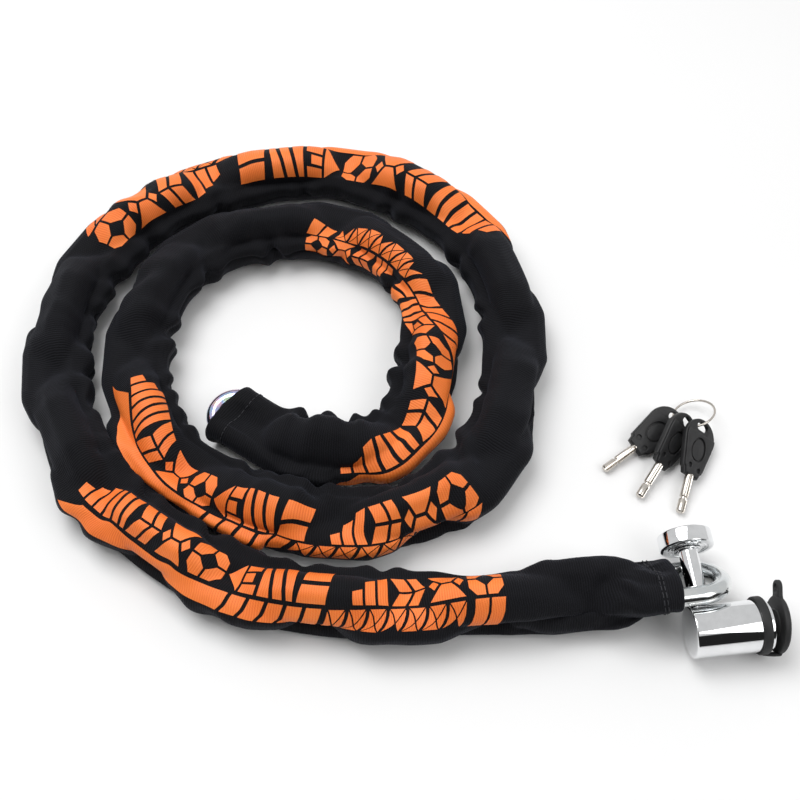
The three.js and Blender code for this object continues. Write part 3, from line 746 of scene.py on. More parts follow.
def settle(stations, rings, girths):
    """Lets the sleeve settle as cloth over its chain. Its rest shape is a straight tube, so that
    the cloth gathers into folds on the inside of each bend."""
    rows, columns = rings.shape[:2]
    cloth = sim_object("settling_cloth", rings)
    middle = rings.mean(axis=1, keepdims=True)
    core_points = middle + (rings - middle) * 0.955
    core_points[:, :, 2] = np.maximum(core_points[:, :, 2], 0.002)
    core = sim_object("chain_proxy", core_points)
    floor = sim_object("floor_proxy", np.array(
        [[(-0.4, -0.4, 0), (0.4, -0.4, 0)], [(-0.4, 0.4, 0), (0.4, 0.4, 0)]]
    ), wrap_columns=False)
    for hard in (core, floor):
        hard.modifiers.new("collision", "COLLISION")
        hard.collision.thickness_outer = 0.006
        hard.collision.thickness_inner = 0.02
        hard.collision.cloth_friction = 12

    cloth.shape_key_add(name="lying")
    straight = cloth.shape_key_add(name="straight")
    angles = np.linspace(0, 2 * math.pi, columns, endpoint=False)
    radius = girths / (2 * math.pi)
    flat = np.empty_like(rings)
    flat[:, :, 0] = (stations * GATHER)[:, None]
    flat[:, :, 1] = radius[:, None] * np.cos(angles)
    flat[:, :, 2] = radius[:, None] * np.sin(angles)
    straight.data.foreach_set("co", (flat * SIM_SCALE).ravel())

    held = cloth.vertex_groups.new(name="held")
    low = rings[:, :, 2] < 0.0012
    low[0:2] = True
    low[-2:] = True
    held.add(np.flatnonzero(low.ravel()).tolist(), 1.0, "REPLACE")

    modifier = cloth.modifiers.new("cloth", "CLOTH")
    modifier.settings.rest_shape_key = straight
    modifier.settings.vertex_group_mass = "held"
    for setting, value in CLOTH.items():
        setattr(modifier.settings, setting, value)
    modifier.collision_settings.distance_min = 0.006
    modifier.collision_settings.collision_quality = 2
    modifier.point_cache.frame_start = 1
    modifier.point_cache.frame_end = SIM_FRAMES
    for number in range(1, SIM_FRAMES + 1):
        scene.frame_set(number)
    solved = cloth.evaluated_get(bpy.context.evaluated_depsgraph_get()).data
    points = np.empty(rows * columns * 3)
    solved.vertices.foreach_get("co", points)
    points = points.reshape(rows, columns, 3) / SIM_SCALE
    scene.frame_set(1)
    for item in (cloth, core, floor):
        bpy.data.objects.remove(item)
    return kept_clear(rings, points - rings, SETTLED_OUTWARD)


def kept_clear(rings, shift, outward):
    """The shifted rings, held off the chain inside and off the next turn of the coil."""
    normals = grid_normals(rings)
    lift = (shift * normals).sum(axis=2)
    sideways = shift - normals * lift[:, :, None]
    reach = np.linalg.norm(sideways, axis=2, keepdims=True)
    sideways *= np.minimum(1, SIDEWAYS_LIMIT / np.maximum(reach, 1e-9))
    lift = np.clip(lift, -CHAIN_ROOM, np.minimum(outward, TURN_ROOM))
    return rings + sideways + normals * lift[:, :, None]


def room_to_next_turn(rings):
    """How far each point can move out before it meets another turn of the sleeve."""
    rows, columns = rings.shape[:2]
    flat = rings.reshape(-1, 3)
    tree = KDTree(len(flat))
    for number, point in enumerate(flat):
        tree.insert(point, number)
    tree.balance()
    apart = int(TURN_SPAN / SLEEVE_STEP)
    room = np.full(len(flat), MOST_ROOM)
    for number, point in enumerate(flat):
        for _, other, distance in tree.find_range(point, TURN_REACH):
            if abs(other // columns - number // columns) > apart:
                room[number] = min(room[number], max(0.0, distance / 2 - TURN_GAP))
    return room.reshape(rows, columns)


def links_tree():
    """A search tree over the surfaces of all the chain's links."""
    points, faces = [], []
    for node, item in frame["nodes"].items():
        if node.startswith("link_"):
            first = len(points)
            points += [item.matrix_world @ vertex.co for vertex in item.data.vertices]
            faces += [[first + corner for corner in face.vertices] for face in item.data.polygons]
    return BVHTree.FromPolygons(points, faces)


def clearance(rings):
    """Each point's distance from the nearest link, less than nothing inside one."""
    result = []
    for point in rings.reshape(-1, 3):
        near, normal, _, distance = LINKS.find_nearest(point)
        result.append(distance if (Vector(point) - near).dot(normal) > 0 else -distance)
    return np.array(result).reshape(rings.shape[:2])


def held_off_links(rings, normals):
    """The rings with every point that comes too near a link moved out again."""
    for _ in range(4):
        lack = np.clip(CHAIN_CLEARANCE - clearance(rings), 0, PUSH_LIMIT)
        rings = rings + normals * lack[:, :, None]
    return rings


stations, sleeve_rings, girths = sleeve_grid()
LINKS = links_tree()
CHAIN_ROOM = np.clip(clearance(sleeve_rings) - CHAIN_CLEARANCE, LEAST_ROOM, MOST_ROOM)
TURN_ROOM = room_to_next_turn(sleeve_rings)
BASE_RINGS = sleeve_rings.copy()
sleeve_rings = settle(stations, sleeve_rings, girths)
sleeve_rings = fold(stations, sleeve_rings, girths)


HEM_DEPTH = 0.016
MOUTH_DEPTH = 0.034
TURNED_INSET = 0.0013


def turned_in(rings, stations, at_start, depth):
    """Rings that carry the cloth round its open edge and back inside."""
    count = max(2, int(round(depth / SLEEVE_STEP)))
    rows = range(1, count + 1) if at_start else range(len(rings) - 2, len(rings) - 2 - count, -1)
    middle = rings.mean(axis=1, keepdims=True)
    result = []
    for row in rows:
        spread = rings[row] - middle[row]
        reach = np.linalg.norm(spread, axis=1, keepdims=True)
        result.append(middle[row] + spread * (1 - TURNED_INSET / reach))
    edge = stations[0 if at_start else -1]
    return np.array(result), np.array([2 * edge - stations[row] for row in rows])


def build_sleeve():
    hem, hem_s = turned_in(sleeve_rings, stations, True, HEM_DEPTH)
    mouth, mouth_s = turned_in(sleeve_rings, stations, False, MOUTH_DEPTH)
    rings = np.concatenate([hem[::-1], sleeve_rings, mouth])
    places = np.concatenate([hem_s[::-1], stations, mouth_s])
    around = np.concatenate([np.full(len(hem), girths[0]), girths, np.full(len(mouth), girths[-1])])
    mesh = cloth_mesh("fabric_sleeve", rings, places, around)
    sleeve = add_object("fabric_sleeve", mesh, "chain", FABRIC)
    smooth = sleeve.modifiers.new("smooth", "SUBSURF")
    smooth.levels = 1
    smooth.render_levels = 1
    smooth.uv_smooth = "NONE"
    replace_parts(sleeve, "sleeve")
    return sleeve


# ---- Print -------------------------------------------------------------------------------

# Each repeat of the print, in millimetres: where it starts from the hem, how far apart its blocks
# lie and how high they are. The cloth is stretched in the second, and gathered elsewhere.
REPEATS = [(93.6, 19.8, 20.5), (519.5, 23.8, 24), (994.2, 18.7, 20), (1415.0, 19.4, 20)]
# The middle of the big row across the crown, outwards from it, at places along the sleeve: the
# sleeve lies a little twisted.
ROW_TWIST = [
    (100, -5), (200, -1), (330, 3), (530, -3), (640, -2), (800, -2), (1003, 9), (1100, 10),
    (1160, 6), (1217, -7), (1425, -25), (1500, -24), (1541, -12), (1565, 3), (1605, 9), (1646, 16),
]
BLOCK_SHARE = 0.9  # of the pitch that a block covers
WORD_GAP = 8.0
BLOCK_ORDER = (2, 5, 0, 3, 1, 6, 4, 2, 5, 0, 6, 3)
BLOCKS_BEFORE_GAP = 4
ROW_GAP = 1.8
LOWER_HEIGHT = 12.0
LEAN = 4.2
CUT_BAR_SIZE = 0.86
PRINT_CELL = 0.0022
PRINT_LIFT = 0.0003
CUT = 0.035  # half the width of a cut between a block's pieces


def block_shapes(kind):
    """A printed block as convex outlines in a unit square, y upwards."""
    c = 0.2
    g = CUT
    if kind == 0:  # two chevrons, cut along the middle
        return [
            [(0, 1), (0.38, 1), (0.62, 0.5 + g), (0.24, 0.5 + g)],
            [(0, 0), (0.38, 0), (0.62, 0.5 - g), (0.24, 0.5 - g)],
            [(0.48, 1), (0.76, 1), (1, 0.5 + g), (0.72, 0.5 + g)],
            [(0.48, 0), (0.76, 0), (1, 0.5 - g), (0.72, 0.5 - g)],
        ]
    if kind == 1:  # two leaning slabs over each other
        return [
            [(0, 0), (0.80, 0), (0.90, 0.44), (0.10, 0.44)],
            [(0.12, 0.56), (0.92, 0.56), (1, 1), (0.20, 1)],
        ]
    if kind == 2:  # four corners about a square set on its point
        return [
            [(0, c), (c, 0), (0.5 - g, 0), (0.5 - g, 0.24), (0.24, 0.5 - g), (0, 0.5 - g)],
            [(0.5 + g, 0), (1 - c, 0), (1, c), (1, 0.5 - g), (0.76, 0.5 - g), (0.5 + g, 0.24)],
            [(0, 0.5 + g), (0.24, 0.5 + g), (0.5 - g, 0.76), (0.5 - g, 1), (c, 1), (0, 1 - c)],
            [(0.5 + g, 0.76), (0.76, 0.5 + g), (1, 0.5 + g), (1, 1 - c), (1 - c, 1), (0.5 + g, 1)],
        ]
    if kind == 3:  # three bars, each taller than the last
        return [
            [(0, 0), (0.28, 0), (0.28, 0.40), (0, 0.32)],
            [(0.36, 0), (0.64, 0), (0.64, 0.74), (0.36, 0.62)],
            [(0.72, 0), (1, 0), (1, 1), (0.72, 0.92)],
        ]
    if kind == 4:  # a wedge against a cut slab
        return [
            [(0, 0.5), (0.46, 1), (0.46, 0)],
            [(0.54, 0), (1, 0), (1, 0.28), (0.54, 0.28)],
            [(0.54, 0.36), (0.86, 0.36), (0.86, 0.64), (0.54, 0.64)],
            [(0.54, 0.72), (1, 0.72), (1, 1), (0.54, 1)],
        ]
    if kind == 5:  # two wedges point to point, with a small square on each side
        return [
            [(0, 1), (1, 1), (0.64, 0.5 + g), (0.36, 0.5 + g)],
            [(0, 0), (1, 0), (0.64, 0.5 - g), (0.36, 0.5 - g)],
            [(0, 0.5), (0.14, 0.32), (0.28, 0.5), (0.14, 0.68)],
            [(1, 0.5), (0.86, 0.32), (0.72, 0.5), (0.86, 0.68)],
        ]
    return [  # slabs with falling slits
        [(0, 0), (0.34, 0), (0.16, 1), (0, 1)],
        [(0.46, 0), (0.72, 0), (0.54, 1), (0.28, 1)],
        [(0.84, 0), (1, 0), (1, 1), (0.66, 1)],
    ]


def printed_blocks(start, pitch, height):
    """The big row of one repeat, and where it ends: outlines of (s, t) in millimetres."""
    outlines = []
    s = start
    for number, kind in enumerate(BLOCK_ORDER):
        for outline in block_shapes(kind):
            outlines.append([
                (s + (1 - x) * pitch * BLOCK_SHARE, (0.5 - y) * height) for x, y in outline
            ])
        s += pitch
        if number == BLOCKS_BEFORE_GAP - 1:
            s += WORD_GAP
    return outlines, s


def slanted(s, width, top):
    """A leaning bar of the lower row."""
    low = top + LOWER_HEIGHT
    return [(s, top), (s + width, top), (s + width + LEAN, low), (s + LEAN, low)]


def cut_bar(bar, missing=None):
    """A leaning bar cut from corner to corner: the triangle on each of its sides but one."""
    middle = (bar[0] + bar[2]) / 2
    triangles = []
    for near in range(4):
        if near != missing:
            triangle = np.array([bar[near], bar[(near + 1) % 4], middle])
            centre = triangle.mean(axis=0)
            triangles.append(centre + (triangle - centre) * CUT_BAR_SIZE)
    return triangles


def lower_row(start, end, top):
    """Two slashes, a row of small cut bars, five slashes and a long stripe."""
    outlines = []
    s = start
    for _ in range(2):
        outlines.append(slanted(s, 7.0, top))
        s += 8.4
    s += 3.0
    for number in range(7):
        outlines += cut_bar(np.array(slanted(s, 8.8, top)), None if number % 3 else 2)
        s += 10.2
    s += 1.5
    for _ in range(5):
        outlines.append(slanted(s, 7.2, top))
        s += 9.2
    bar = slanted(s, 0, top)
    outlines.append([bar[0], (end - 10, top), (end + 2, top + LOWER_HEIGHT), bar[2]])
    return outlines


def flat_patches():
    """All printed outlines on the flat cloth: lists of (s, t) points in metres."""
    outlines = []
    for start, pitch, height in REPEATS:
        blocks, end = printed_blocks(start, pitch, height)
        outlines += blocks + lower_row(start, end, height / 2 + ROW_GAP)
    return [[(s * MM, t * MM) for s, t in outline] for outline in outlines]


def build_print(at):
    """Thin printed patches that follow the folded cloth."""
    work = bmesh.new()
    for outline in flat_patches():
        corners = [work.verts.new((s, t, 0)) for s, t in outline]
        work.faces.new(corners)
    lows = np.array([v.co for v in work.verts]).min(0)
    highs = np.array([v.co for v in work.verts]).max(0)
    for axis in (0, 1):
        for place in np.arange(lows[axis] + PRINT_CELL / 3, highs[axis], PRINT_CELL):
            point = [0, 0, 0]
            normal = [0, 0, 0]
            point[axis] = place
            normal[axis] = 1
            bmesh.ops.bisect_plane(
                work, geom=work.verts[:] + work.edges[:] + work.faces[:],
                dist=1e-6, plane_co=point, plane_no=normal,
            )
    mesh = bpy.data.meshes.new("sleeve_print")
    work.to_mesh(mesh)
    work.free()
    flat = np.array([v.co for v in mesh.vertices])
    layer = mesh.uv_layers.new(name="cloth")
    loops = np.array([loop.vertex_index for loop in mesh.loops])
    layer.data.foreach_set("uv", flat[loops][:, :2].ravel())
    places, middles = np.array(ROW_TWIST, float).T * MM
    twist = np.interp(flat[:, 0], places, middles)
    points = at(flat[:, 0], flat[:, 1] + twist, PRINT_LIFT)
    mesh.vertices.foreach_set("co", points.ravel())
    mesh.update()
    for polygon in mesh.polygons:
        polygon.use_smooth = True
    return add_object("sleeve_print", mesh, "chain", PRINT)


def build_stitches(at):
    """Two rows of stitches round the hem and one round the mouth."""
    pitch, thread_radius = 0.0036, 0.00028
    meshes = []
    for s in (0.0105, 0.0125, SLEEVE_LENGTH - 0.012):
        girth = float(np.interp(s, stations, girths))
        count = int(girth / pitch)
        for number in range(count):
            path = [
                Vector(at(np.array([s]), np.array([(number + share) * girth / count]), lift)[0])
                for share, lift in ((0, 0.0001), (0.35, 0.0004), (0.7, 0.0001))
            ]
            meshes.append(sweep("stitch", path, thread_radius, sides=6))
    return add_object("hem_stitches", joined("hem_stitches", meshes), "chain", THREAD)


sleeve = build_sleeve()
cloth_at = surface_sampler(stations, sleeve_rings, girths)
build_print(cloth_at)
build_stitches(cloth_at)


# ---- Chain links that show ----------------------------------------------------------------

LINK_INNER_LENGTH = 0.0475
WIRE = 0.010
WELD_SWELL = 0.045
WELD_REACH = 0.0022


def link_mesh(name, inner_width, place):
    """A bent and welded link: a slight swell at the weld on one long side."""
    bow = inner_width / 2 + WIRE / 2
    half = LINK_INNER_LENGTH / 2 - inner_width / 2
    path = []
    for side in (1, -1):
        path += [Vector((side * x, side * y, 0)) for x, y in arc(half, 0, bow, -90, 90, 39)]
        for share in np.linspace(0.06, 0.94, 15):
            path.append(Vector((side * half * (1 - 2 * share), side * bow, 0)))
    swell = [
        WIRE / 2 * (1 + (WELD_SWELL * math.exp(-(p.x / WELD_REACH) ** 2) if p.y < 0 else 0))
        for p in path
    ]
    return sweep(name, path, swell, sides=28, closed=True, place=place)


shown_links = {
    "link_01": (0.021, "chain", ZINC),
    "link_02": (0.014, "chain", ZINC),
    "link_37": (0.014, "chain", IRIDESCENT),
    "link_38": (0.014, "free_end_link", IRIDESCENT),
}
for node, (inner_width, body, look) in shown_links.items():
    mesh = link_mesh(node + "_wire", inner_width, cad_place(node))
    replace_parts(add_object(node + "_wire", mesh, body, look), node)


# ---- Lock --------------------------------------------------------------------------------

key_turn = joints["key_turn"]
pin_turn = joints["pin_turn"]


def axes_place(middle, along, across):
    along = Vector(along).normalized()
    across = Vector(across)
    across = (across - along * across.dot(along)).normalized()
    up = along.cross(across)
    return Matrix.Translation(Vector(middle)) @ Matrix((along, across, up)).transposed().to_4x4()


# X runs along the barrel to its key end, and Y along the pin to its head.
LOCK = axes_place(key_turn["pos_m"], key_turn["axis"], -Vector(pin_turn["axis"]))
PIN = axes_place(key_turn["pos_m"], -Vector(pin_turn["axis"]), key_turn["axis"])

BARREL_RADIUS = 0.0135
BLIND_END = -0.0086
KEY_END = 0.0325
PIN_RADIUS = 0.00525
PIN_HEAD_FACE = 0.0445
PIN_HEAD_RADIUS = 0.0145
PIN_END = -0.0075
PIN_BORE = 0.0056
GROOVE_RADIUS = 0.003
GROOVE_HALF = 0.0043
CORE_BORE = 0.0083
CORE_FLOOR = 0.012
BOLT_BORE = 0.0043
BOLT_FLOOR = 0.0005
BAND_START = 0.0258
BAND_WIDTH = 0.0044
BAND_END = BAND_START + BAND_WIDTH


def build_barrel():
    """The barrel with its stepped bore for core and bolt, and a bore across it for the pin."""
    profile = rounded([
        (BLIND_END, 0.0), (BLIND_END, BARREL_RADIUS), (KEY_END, BARREL_RADIUS),
        (KEY_END, CORE_BORE), (CORE_FLOOR, CORE_BORE), (CORE_FLOOR, BOLT_BORE),
        (BOLT_FLOOR, BOLT_BORE), (BOLT_FLOOR, 0.0),
    ], 0.0011, 5)
    mesh = lathe("barrel_body", profile, Matrix.Identity(4), 128)
    body = bpy.data.objects.new("barrel_body", mesh)
    bore_end = 0.02
    bore = [(PIN_END, 0), (PIN_END, PIN_BORE), (bore_end, PIN_BORE), (bore_end, 0)]
    tool_mesh = lathe("bore_tool", bore, Matrix.Rotation(math.radians(90), 4, "Z"), 64)
    tool = bpy.data.objects.new("bore_tool", tool_mesh)
    for item in (body, tool):
        scene.collection.objects.link(item)
    cutter = body.modifiers.new("pin_bore", "BOOLEAN")
    cutter.object = tool
    cutter.operation = "DIFFERENCE"
    cutter.solver = "EXACT"
    bpy.context.view_layer.update()
    cut = bpy.data.meshes.new_from_object(
        body.evaluated_get(bpy.context.evaluated_depsgraph_get())
    )
    bpy.data.objects.remove(body)
    bpy.data.objects.remove(tool)
    cut.name = "barrel_body"
    cut.transform(LOCK)
    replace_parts(add_object("barrel_body", shade(cut), "barrel", CHROME), "barrel")


def build_pin():
    """The grooved shaft with a thin collar and a stub, and the disc head with its turned steps."""
    collar = PIN_HEAD_FACE - 0.0012
    stub = collar + 0.0009
    stub_end = collar + 0.0058
    collar_radius, stub_radius = 0.0074, 0.0035
    shaft = rounded([
        (PIN_END, 0), (PIN_END, PIN_RADIUS), (-GROOVE_HALF, PIN_RADIUS),
        (-GROOVE_HALF, GROOVE_RADIUS), (GROOVE_HALF, GROOVE_RADIUS), (GROOVE_HALF, PIN_RADIUS),
        (collar, PIN_RADIUS), (collar, collar_radius), (stub, collar_radius),
        (stub, stub_radius), (stub_end, stub_radius), (stub_end, 0),
    ], 0.0005, 4)
    mesh = lathe("pin_rod", shaft, PIN)
    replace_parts(add_object("pin_rod", mesh, "pin", CHROME), "pin_shaft")
    face = PIN_HEAD_FACE
    back = face + 0.009
    rings = [(face + 0.0052, 0), (face + 0.0052, 0.0038), (face, 0.0038), (face, 0.0082)]
    for radius in (0.0086, 0.0104):  # turned steps on the inner face
        rings += [(face + 0.0005, radius), (face + 0.0005, radius + 0.0009), (face, radius + 0.0012)]
    rings += [(face, PIN_HEAD_RADIUS), (back, PIN_HEAD_RADIUS), (back, 0)]
    mesh = lathe("pin_disc", rounded(rings, 0.0012, 5), PIN, 128)
    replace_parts(add_object("pin_disc", mesh, "pin", CHROME), "pin_head")


build_barrel()
build_pin()

# ---- Dust cover --------------------------------------------------------------------------

COVER_TURN = math.radians(-67)
COVER = LOCK @ Matrix.Rotation(COVER_TURN, 4, "X")
HINGE = Vector((KEY_END + 0.0006, 0, -(BARREL_RADIUS + 0.0019)))
CAP_REST = math.radians(6)
CAP_START = KEY_END + 0.0024
CAP_RADIUS = 0.015
CAP_TURN = Matrix.Rotation(CAP_REST, 4, "Y")
CAP = COVER @ Matrix.Translation(HINGE) @ CAP_TURN @ Matrix.Translation(-HINGE)


def build_strap():
    """The strip of rubber from the band to the cap, bent to meet the cap where it rests."""
    half_width, half_thick = 0.004, 0.0007
    root = BAND_START + 0.002
    line = [COVER @ Vector((x, 0, HINGE.z + rise)) for x, rise in (
        (root, 0.0009), (BAND_END, 0.0004), (HINGE.x, 0),
    )]
    line += [CAP @ Vector((CAP_START + ahead, 0, HINGE.z + rise)) for ahead, rise in (
        (0.0014, 0.0002), (0.0022, 0.0016), (0.0022, 0.0042),
    )]
    fine = []
    for number in range(len(line) - 1):
        for share in np.linspace(0, 1, 7)[: None if number == len(line) - 2 else -1]:
            fine.append(line[number].lerp(line[number + 1], float(share)))
    side = (COVER.to_3x3() @ Vector((0, 1, 0))).normalized()
    angles = np.linspace(0, 2 * math.pi, 24, endpoint=False)
    corners = list(zip(squared(np.cos(angles), 0.35), squared(np.sin(angles), 0.35)))
    rings = []
    for number, point in enumerate(fine):
        along = (fine[min(number + 1, len(fine) - 1)] - fine[max(number - 1, 0)]).normalized()
        up = side.cross(along).normalized()
        rings.append([
            tuple(point + side * (half_width * w) + up * (half_thick * h)) for w, h in corners
        ])
    mesh = shade(close_outward(grid_mesh("dust_cover_strap", np.array(rings), caps=True)))
    strap = bpy.data.objects.new("dust_cover_strap", mesh)
    mesh.materials.append(RUBBER)
    scene.collection.objects.link(strap)
    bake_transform(strap)


def build_band():
    inner = BARREL_RADIUS + 0.00015
    outer = BARREL_RADIUS + 0.0015
    bulge, chamfer = 0.0001, 0.0003
    profile = [
        (0, inner), (0, outer - chamfer), (0.0004, outer), (0.0015, outer + bulge),
        (0.0029, outer + bulge), (0.004, outer), (BAND_WIDTH, outer - chamfer),
        (BAND_WIDTH, inner), (0, inner),
    ]
    band = [(BAND_START + x, radius) for x, radius in profile]
    mesh = lathe("band", band, COVER, 128)
    cover = add_object("dust_cover_band", mesh, "barrel", RUBBER)
    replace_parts(cover, "dust_band")


def cap_disc():
    """The cap's disc, with a raised ring on its inner face and a sunk outer face."""
    end = CAP_START + 0.0034
    ring = CAP_START - 0.0006
    sunk = end - 0.0005
    profile = [
        (CAP_START, 0), (CAP_START, 0.0068), (ring, 0.0072), (ring, 0.0079), (CAP_START, 0.0083),
        (CAP_START, CAP_RADIUS - 0.0006), (CAP_START + 0.0006, CAP_RADIUS),
        (end - 0.001, CAP_RADIUS), (end, CAP_RADIUS - 0.001), (end, 0.0118), (sunk, 0.0112),
        (sunk, 0),
    ]
    return lathe("disc", rounded(profile, 0.0004, 3), CAP, 128)


def cap_tab():
    """The cap's pull tab with its hole."""
    half_width, height, hole = 0.004, 0.009, 0.0021
    middle = height - half_width
    outline = [(-half_width - 0.0015, -0.003), (half_width + 0.0015, -0.003), (half_width, 0.0015)]
    outline += arc(0, middle, half_width, 0, 180, 20)
    outline += [(-half_width, 0.0015)]
    eye = arc(0, middle, hole, 360, 0, 24)[:-1]
    quarter = math.radians(90)
    place = (
        CAP @ Matrix.Translation(Vector((CAP_START + 0.0017, 0, CAP_RADIUS - 0.001)))
        @ Matrix.Rotation(quarter, 4, "Z") @ Matrix.Rotation(quarter, 4, "X")
    )
    return extruded("tab", [outline, eye], 0.0026, place, 0.0006)


def build_cap():
    mesh = joined("dust_cover_cap", [cap_disc(), cap_tab()])
    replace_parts(add_object("dust_cover_cap", mesh, "cap", RUBBER), "dust_cap")


build_band()
build_cap()
build_strap()

# ---- Keys --------------------------------------------------------------------------------

KEY_LENGTH = 0.0535
BOW_END = 0.031
BLADE_RADIUS = 0.0025


def bow_outline(inset=0.0):
    """The bow's edge: a round top, tapering sides and stepped lower corners."""
    top = -0.0046 + inset
    radius = 0.0115 - inset
    neck = 0.0072 - inset
    end = BOW_END - inset
    middle = top + radius
    points = arc(middle, 0, radius, 75, 285, 40)
    points += [(end - 0.004, -neck - 0.0006), (end - 0.0032, -neck + 0.0006), (end, -neck + 0.0016)]
    points += [(end, neck - 0.0016), (end - 0.0032, neck - 0.0006), (end - 0.004, neck + 0.0006)]
    return points


def slot_outline():
    reach, radius = 0.002, 0.0024
    return arc(0, reach, radius, 180, 0, 12) + arc(0, -reach, radius, 0, -180, 12)


def oval_outline(x, length, width, steps=36):
    return [
        (x + length / 2 * math.cos(a), width / 2 * math.sin(a))
        for a in np.linspace(2 * math.pi, 0, steps, endpoint=False)
    ]


def build_bow(name, place, body, node):
    """Two moulded faces on a core, with a sunk oval pad, two dimples and a thinner head."""
    head_end = 0.0047
    meshes = [extruded("core", [bow_outline(), slot_outline()], 0.0028, place, 0.0006)]
    outline = [p for p in bow_outline(0.0007) if p[0] > head_end - 0.0008]
    crossing = [(head_end, y) for y in np.linspace(-0.0105, 0.0105, 9)]
    turned = sorted((p for p in outline if p[1] > 0 and p[0] > head_end), key=lambda p: p[0])
    under = sorted((p for p in outline if p[1] < 0 and p[0] > head_end), key=lambda p: -p[0])
    shell = crossing + turned + under
    pad_x, dimple_x, dimple_y = 0.0145, 0.0262, 0.0036
    holes = [
        oval_outline(pad_x, 0.0150, 0.0112),
        [(dimple_x + x, dimple_y + y) for x, y in oval_outline(0, 0.0030, 0.0030, 20)],
        [(dimple_x + x - 0.001, -dimple_y + y) for x, y in oval_outline(0, 0.0030, 0.0030, 20)],
    ]
    pad = oval_outline(pad_x, 0.0128, 0.0090)
    for side in (1, -1):
        lift = place @ Matrix.Translation(Vector((0, 0, side * 0.0019)))
        meshes.append(extruded("shell", [shell, *holes], 0.0012, lift, 0.00035))
        sunk = place @ Matrix.Translation(Vector((0, 0, side * 0.0015)))
        meshes.append(extruded("pad", [pad], 0.0012, sunk, 0.0004))
    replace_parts(add_object(name, joined(name, meshes), body, PLASTIC), node)


def build_blade(name, place, body, node):
    """A round rod with a neck near its tip and a groove along one side."""
    neck_start = KEY_LENGTH - 0.0096
    neck_end = KEY_LENGTH - 0.008
    stops = [
        (0.0255, 1), (0.0305, 1), (0.0312, 1), (neck_start - 0.0003, 1), (neck_start, 0.94),
        (neck_start + 0.0002, 0.66), (neck_end - 0.0002, 0.66), (neck_end, 0.94),
        (neck_end + 0.0003, 1), (KEY_LENGTH - 0.0009, 1), (KEY_LENGTH - 0.0003, 0.86),
        (KEY_LENGTH, 0.66),
    ]
    sides = 72
    groove_start, groove_half, groove_radius = 0.0308, math.radians(15), 0.0013
    rings = []
    for x, share in stops:
        ring = []
        for a in np.linspace(0, 2 * math.pi, sides, endpoint=False):
            radius = BLADE_RADIUS * share
            away = abs(math.remainder(a - math.pi / 2, 2 * math.pi))
            if x > groove_start and away < groove_half:
                radius = min(radius, groove_radius / math.cos(away))
            ring.append((x, radius * math.cos(a), radius * math.sin(a)))
        rings.append(ring)
    mesh = grid_mesh(name, np.array(rings), caps=True)
    close_outward(mesh)
    mesh.transform(place)
    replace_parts(add_object(name, shade(mesh, 30), body, NICKEL), node)


for number, key in enumerate(KEYS, 1):
    key_place = placed(key["hole"], key["heading"], key["roll"], key["pitch"])
    build_bow(f"key_head_{number}", key_place, f"key_{number}", f"key_bow_{number}")
    build_blade(f"key_rod_{number}", key_place, f"key_{number}", f"key_blade_{number}")


def build_key_ring():
    """A wire ring whose ends don't quite meet."""
    radius, gap_at, half_gap = 0.012, 118, 9
    turn = arc(0, 0, radius, gap_at + half_gap, gap_at + 360 - half_gap, 109)
    path = [Vector((x, y, 0)) for x, y in turn]
    place = placed(KEY_RING["middle"], KEY_RING["heading"], KEY_RING["roll"], KEY_RING["pitch"])
    mesh = sweep("wire_ring", path, 0.0007, sides=14, place=place)
    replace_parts(add_object("wire_ring", mesh, "ring", NICKEL), "key_ring")


build_key_ring()

# ---- CAD nodes that stay, by how their names start -----------------------------------------

STAYING = {
    "link_": ZINC, "lock_core": BRASS, "detainer_disc_": BRASS, "sidebar": STEEL,
    "locking_bolt": STEEL, "bolt_spring": STEEL, "keyhole_plate": NICKEL,
}
for name, piece in frame["nodes"].items():
    for start, look in STAYING.items():
        if name.startswith(start):
            if not piece.material_slots:
                piece.data.materials.append(look)
            for item in piece.material_slots:
                item.material = look

# ---- Floor and light ---------------------------------------------------------------------

ROOM_DARKNESS = 0.975
WORLD_STRENGTH = 0.68


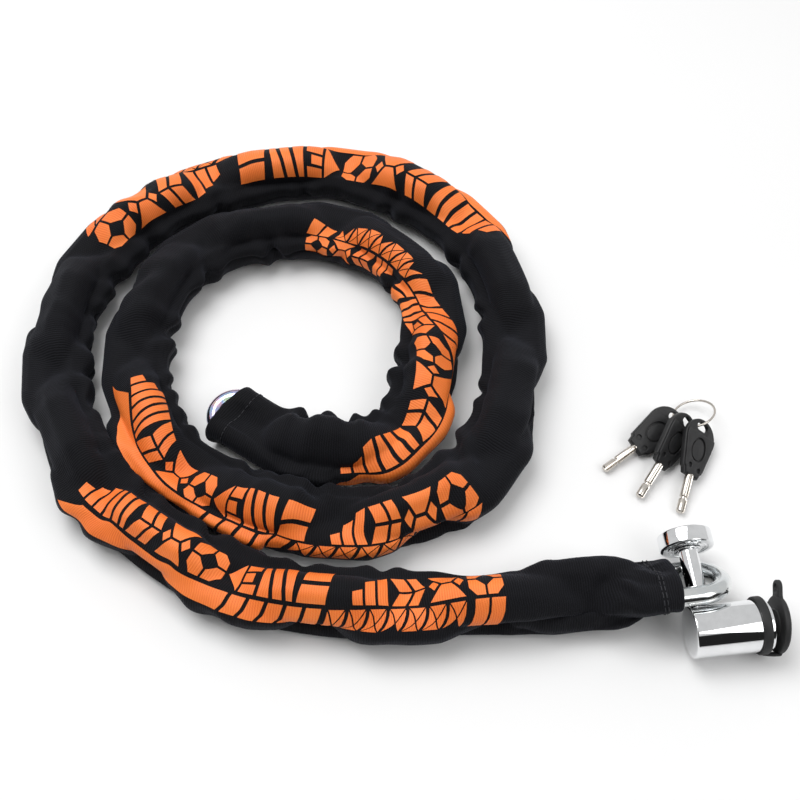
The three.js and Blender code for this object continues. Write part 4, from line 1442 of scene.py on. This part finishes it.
def build_floor():
    reach = 3.0
    corners = [(-reach, -reach, 0), (reach, -reach, 0), (reach, reach, 0), (-reach, reach, 0)]
    mesh = bpy.data.meshes.new("floor")
    mesh.from_pydata(corners, [], [(0, 1, 2, 3)])
    look = Look("pale_floor")
    color = look.ramp(look.noise(3, 2), (0.3, (0.90, 0.90, 0.90)), (0.7, (0.92, 0.92, 0.92)))
    look.link("Base Color", color)
    look.set(Roughness=0.6)
    mesh.materials.append(look.material)
    floor = bpy.data.objects.new("floor", mesh)
    scene.collection.objects.link(floor)


def area_light(name, location, target, size, power):
    data = bpy.data.lights.new(name, "AREA")
    data.shape = "RECTANGLE"
    data.size, data.size_y = size
    data.energy = power
    light = bpy.data.objects.new(name, data)
    light.location = location
    light.rotation_euler = (Vector(target) - Vector(location)).to_track_quat("-Z", "Y").to_euler()
    scene.collection.objects.link(light)


def build_world():
    """White surroundings with the dark of a room in front, for the chrome to mirror."""
    world = bpy.data.worlds.new("studio")
    world.use_nodes = True
    tree = world.node_tree
    background = tree.nodes["Background"]
    place = tree.nodes.new("ShaderNodeTexCoord")
    parts = tree.nodes.new("ShaderNodeSeparateXYZ")
    tree.links.new(place.outputs["Generated"], parts.inputs[0])

    def level(socket, low, high):
        node = tree.nodes.new("ShaderNodeMapRange")
        node.interpolation_type = "SMOOTHSTEP"
        node.inputs["From Min"].default_value = low
        node.inputs["From Max"].default_value = high
        tree.links.new(parts.outputs[socket], node.inputs["Value"])
        return node.outputs[0]

    def both(operation, first, second):
        node = tree.nodes.new("ShaderNodeMath")
        node.operation = operation
        for socket, value in zip(node.inputs, (first, second)):
            if isinstance(value, float):
                socket.default_value = value
            else:
                tree.links.new(value, socket)
        return node.outputs[0]

    low_edge = level("Z", 0.03, 0.06)
    high_edge = level("Z", 0.74, 0.80)
    band = both("SUBTRACT", low_edge, high_edge)
    front = level("Y", -0.10, -0.30)
    dark = both("MULTIPLY", band, front)
    value = both("SUBTRACT", 1.0, both("MULTIPLY", dark, ROOM_DARKNESS))
    tree.links.new(value, background.inputs["Color"])
    background.inputs["Strength"].default_value = WORLD_STRENGTH
    scene.world = world


build_floor()
build_world()
area_light("key_light", (-0.5, 0.35, 1.5), (0, 0, 0), (1.1, 1.1), 16)
area_light("fill_light", (0.9, -0.6, 1.1), (0.05, -0.05, 0), (0.8, 0.8), 5)
scene.view_settings.view_transform = "Standard"
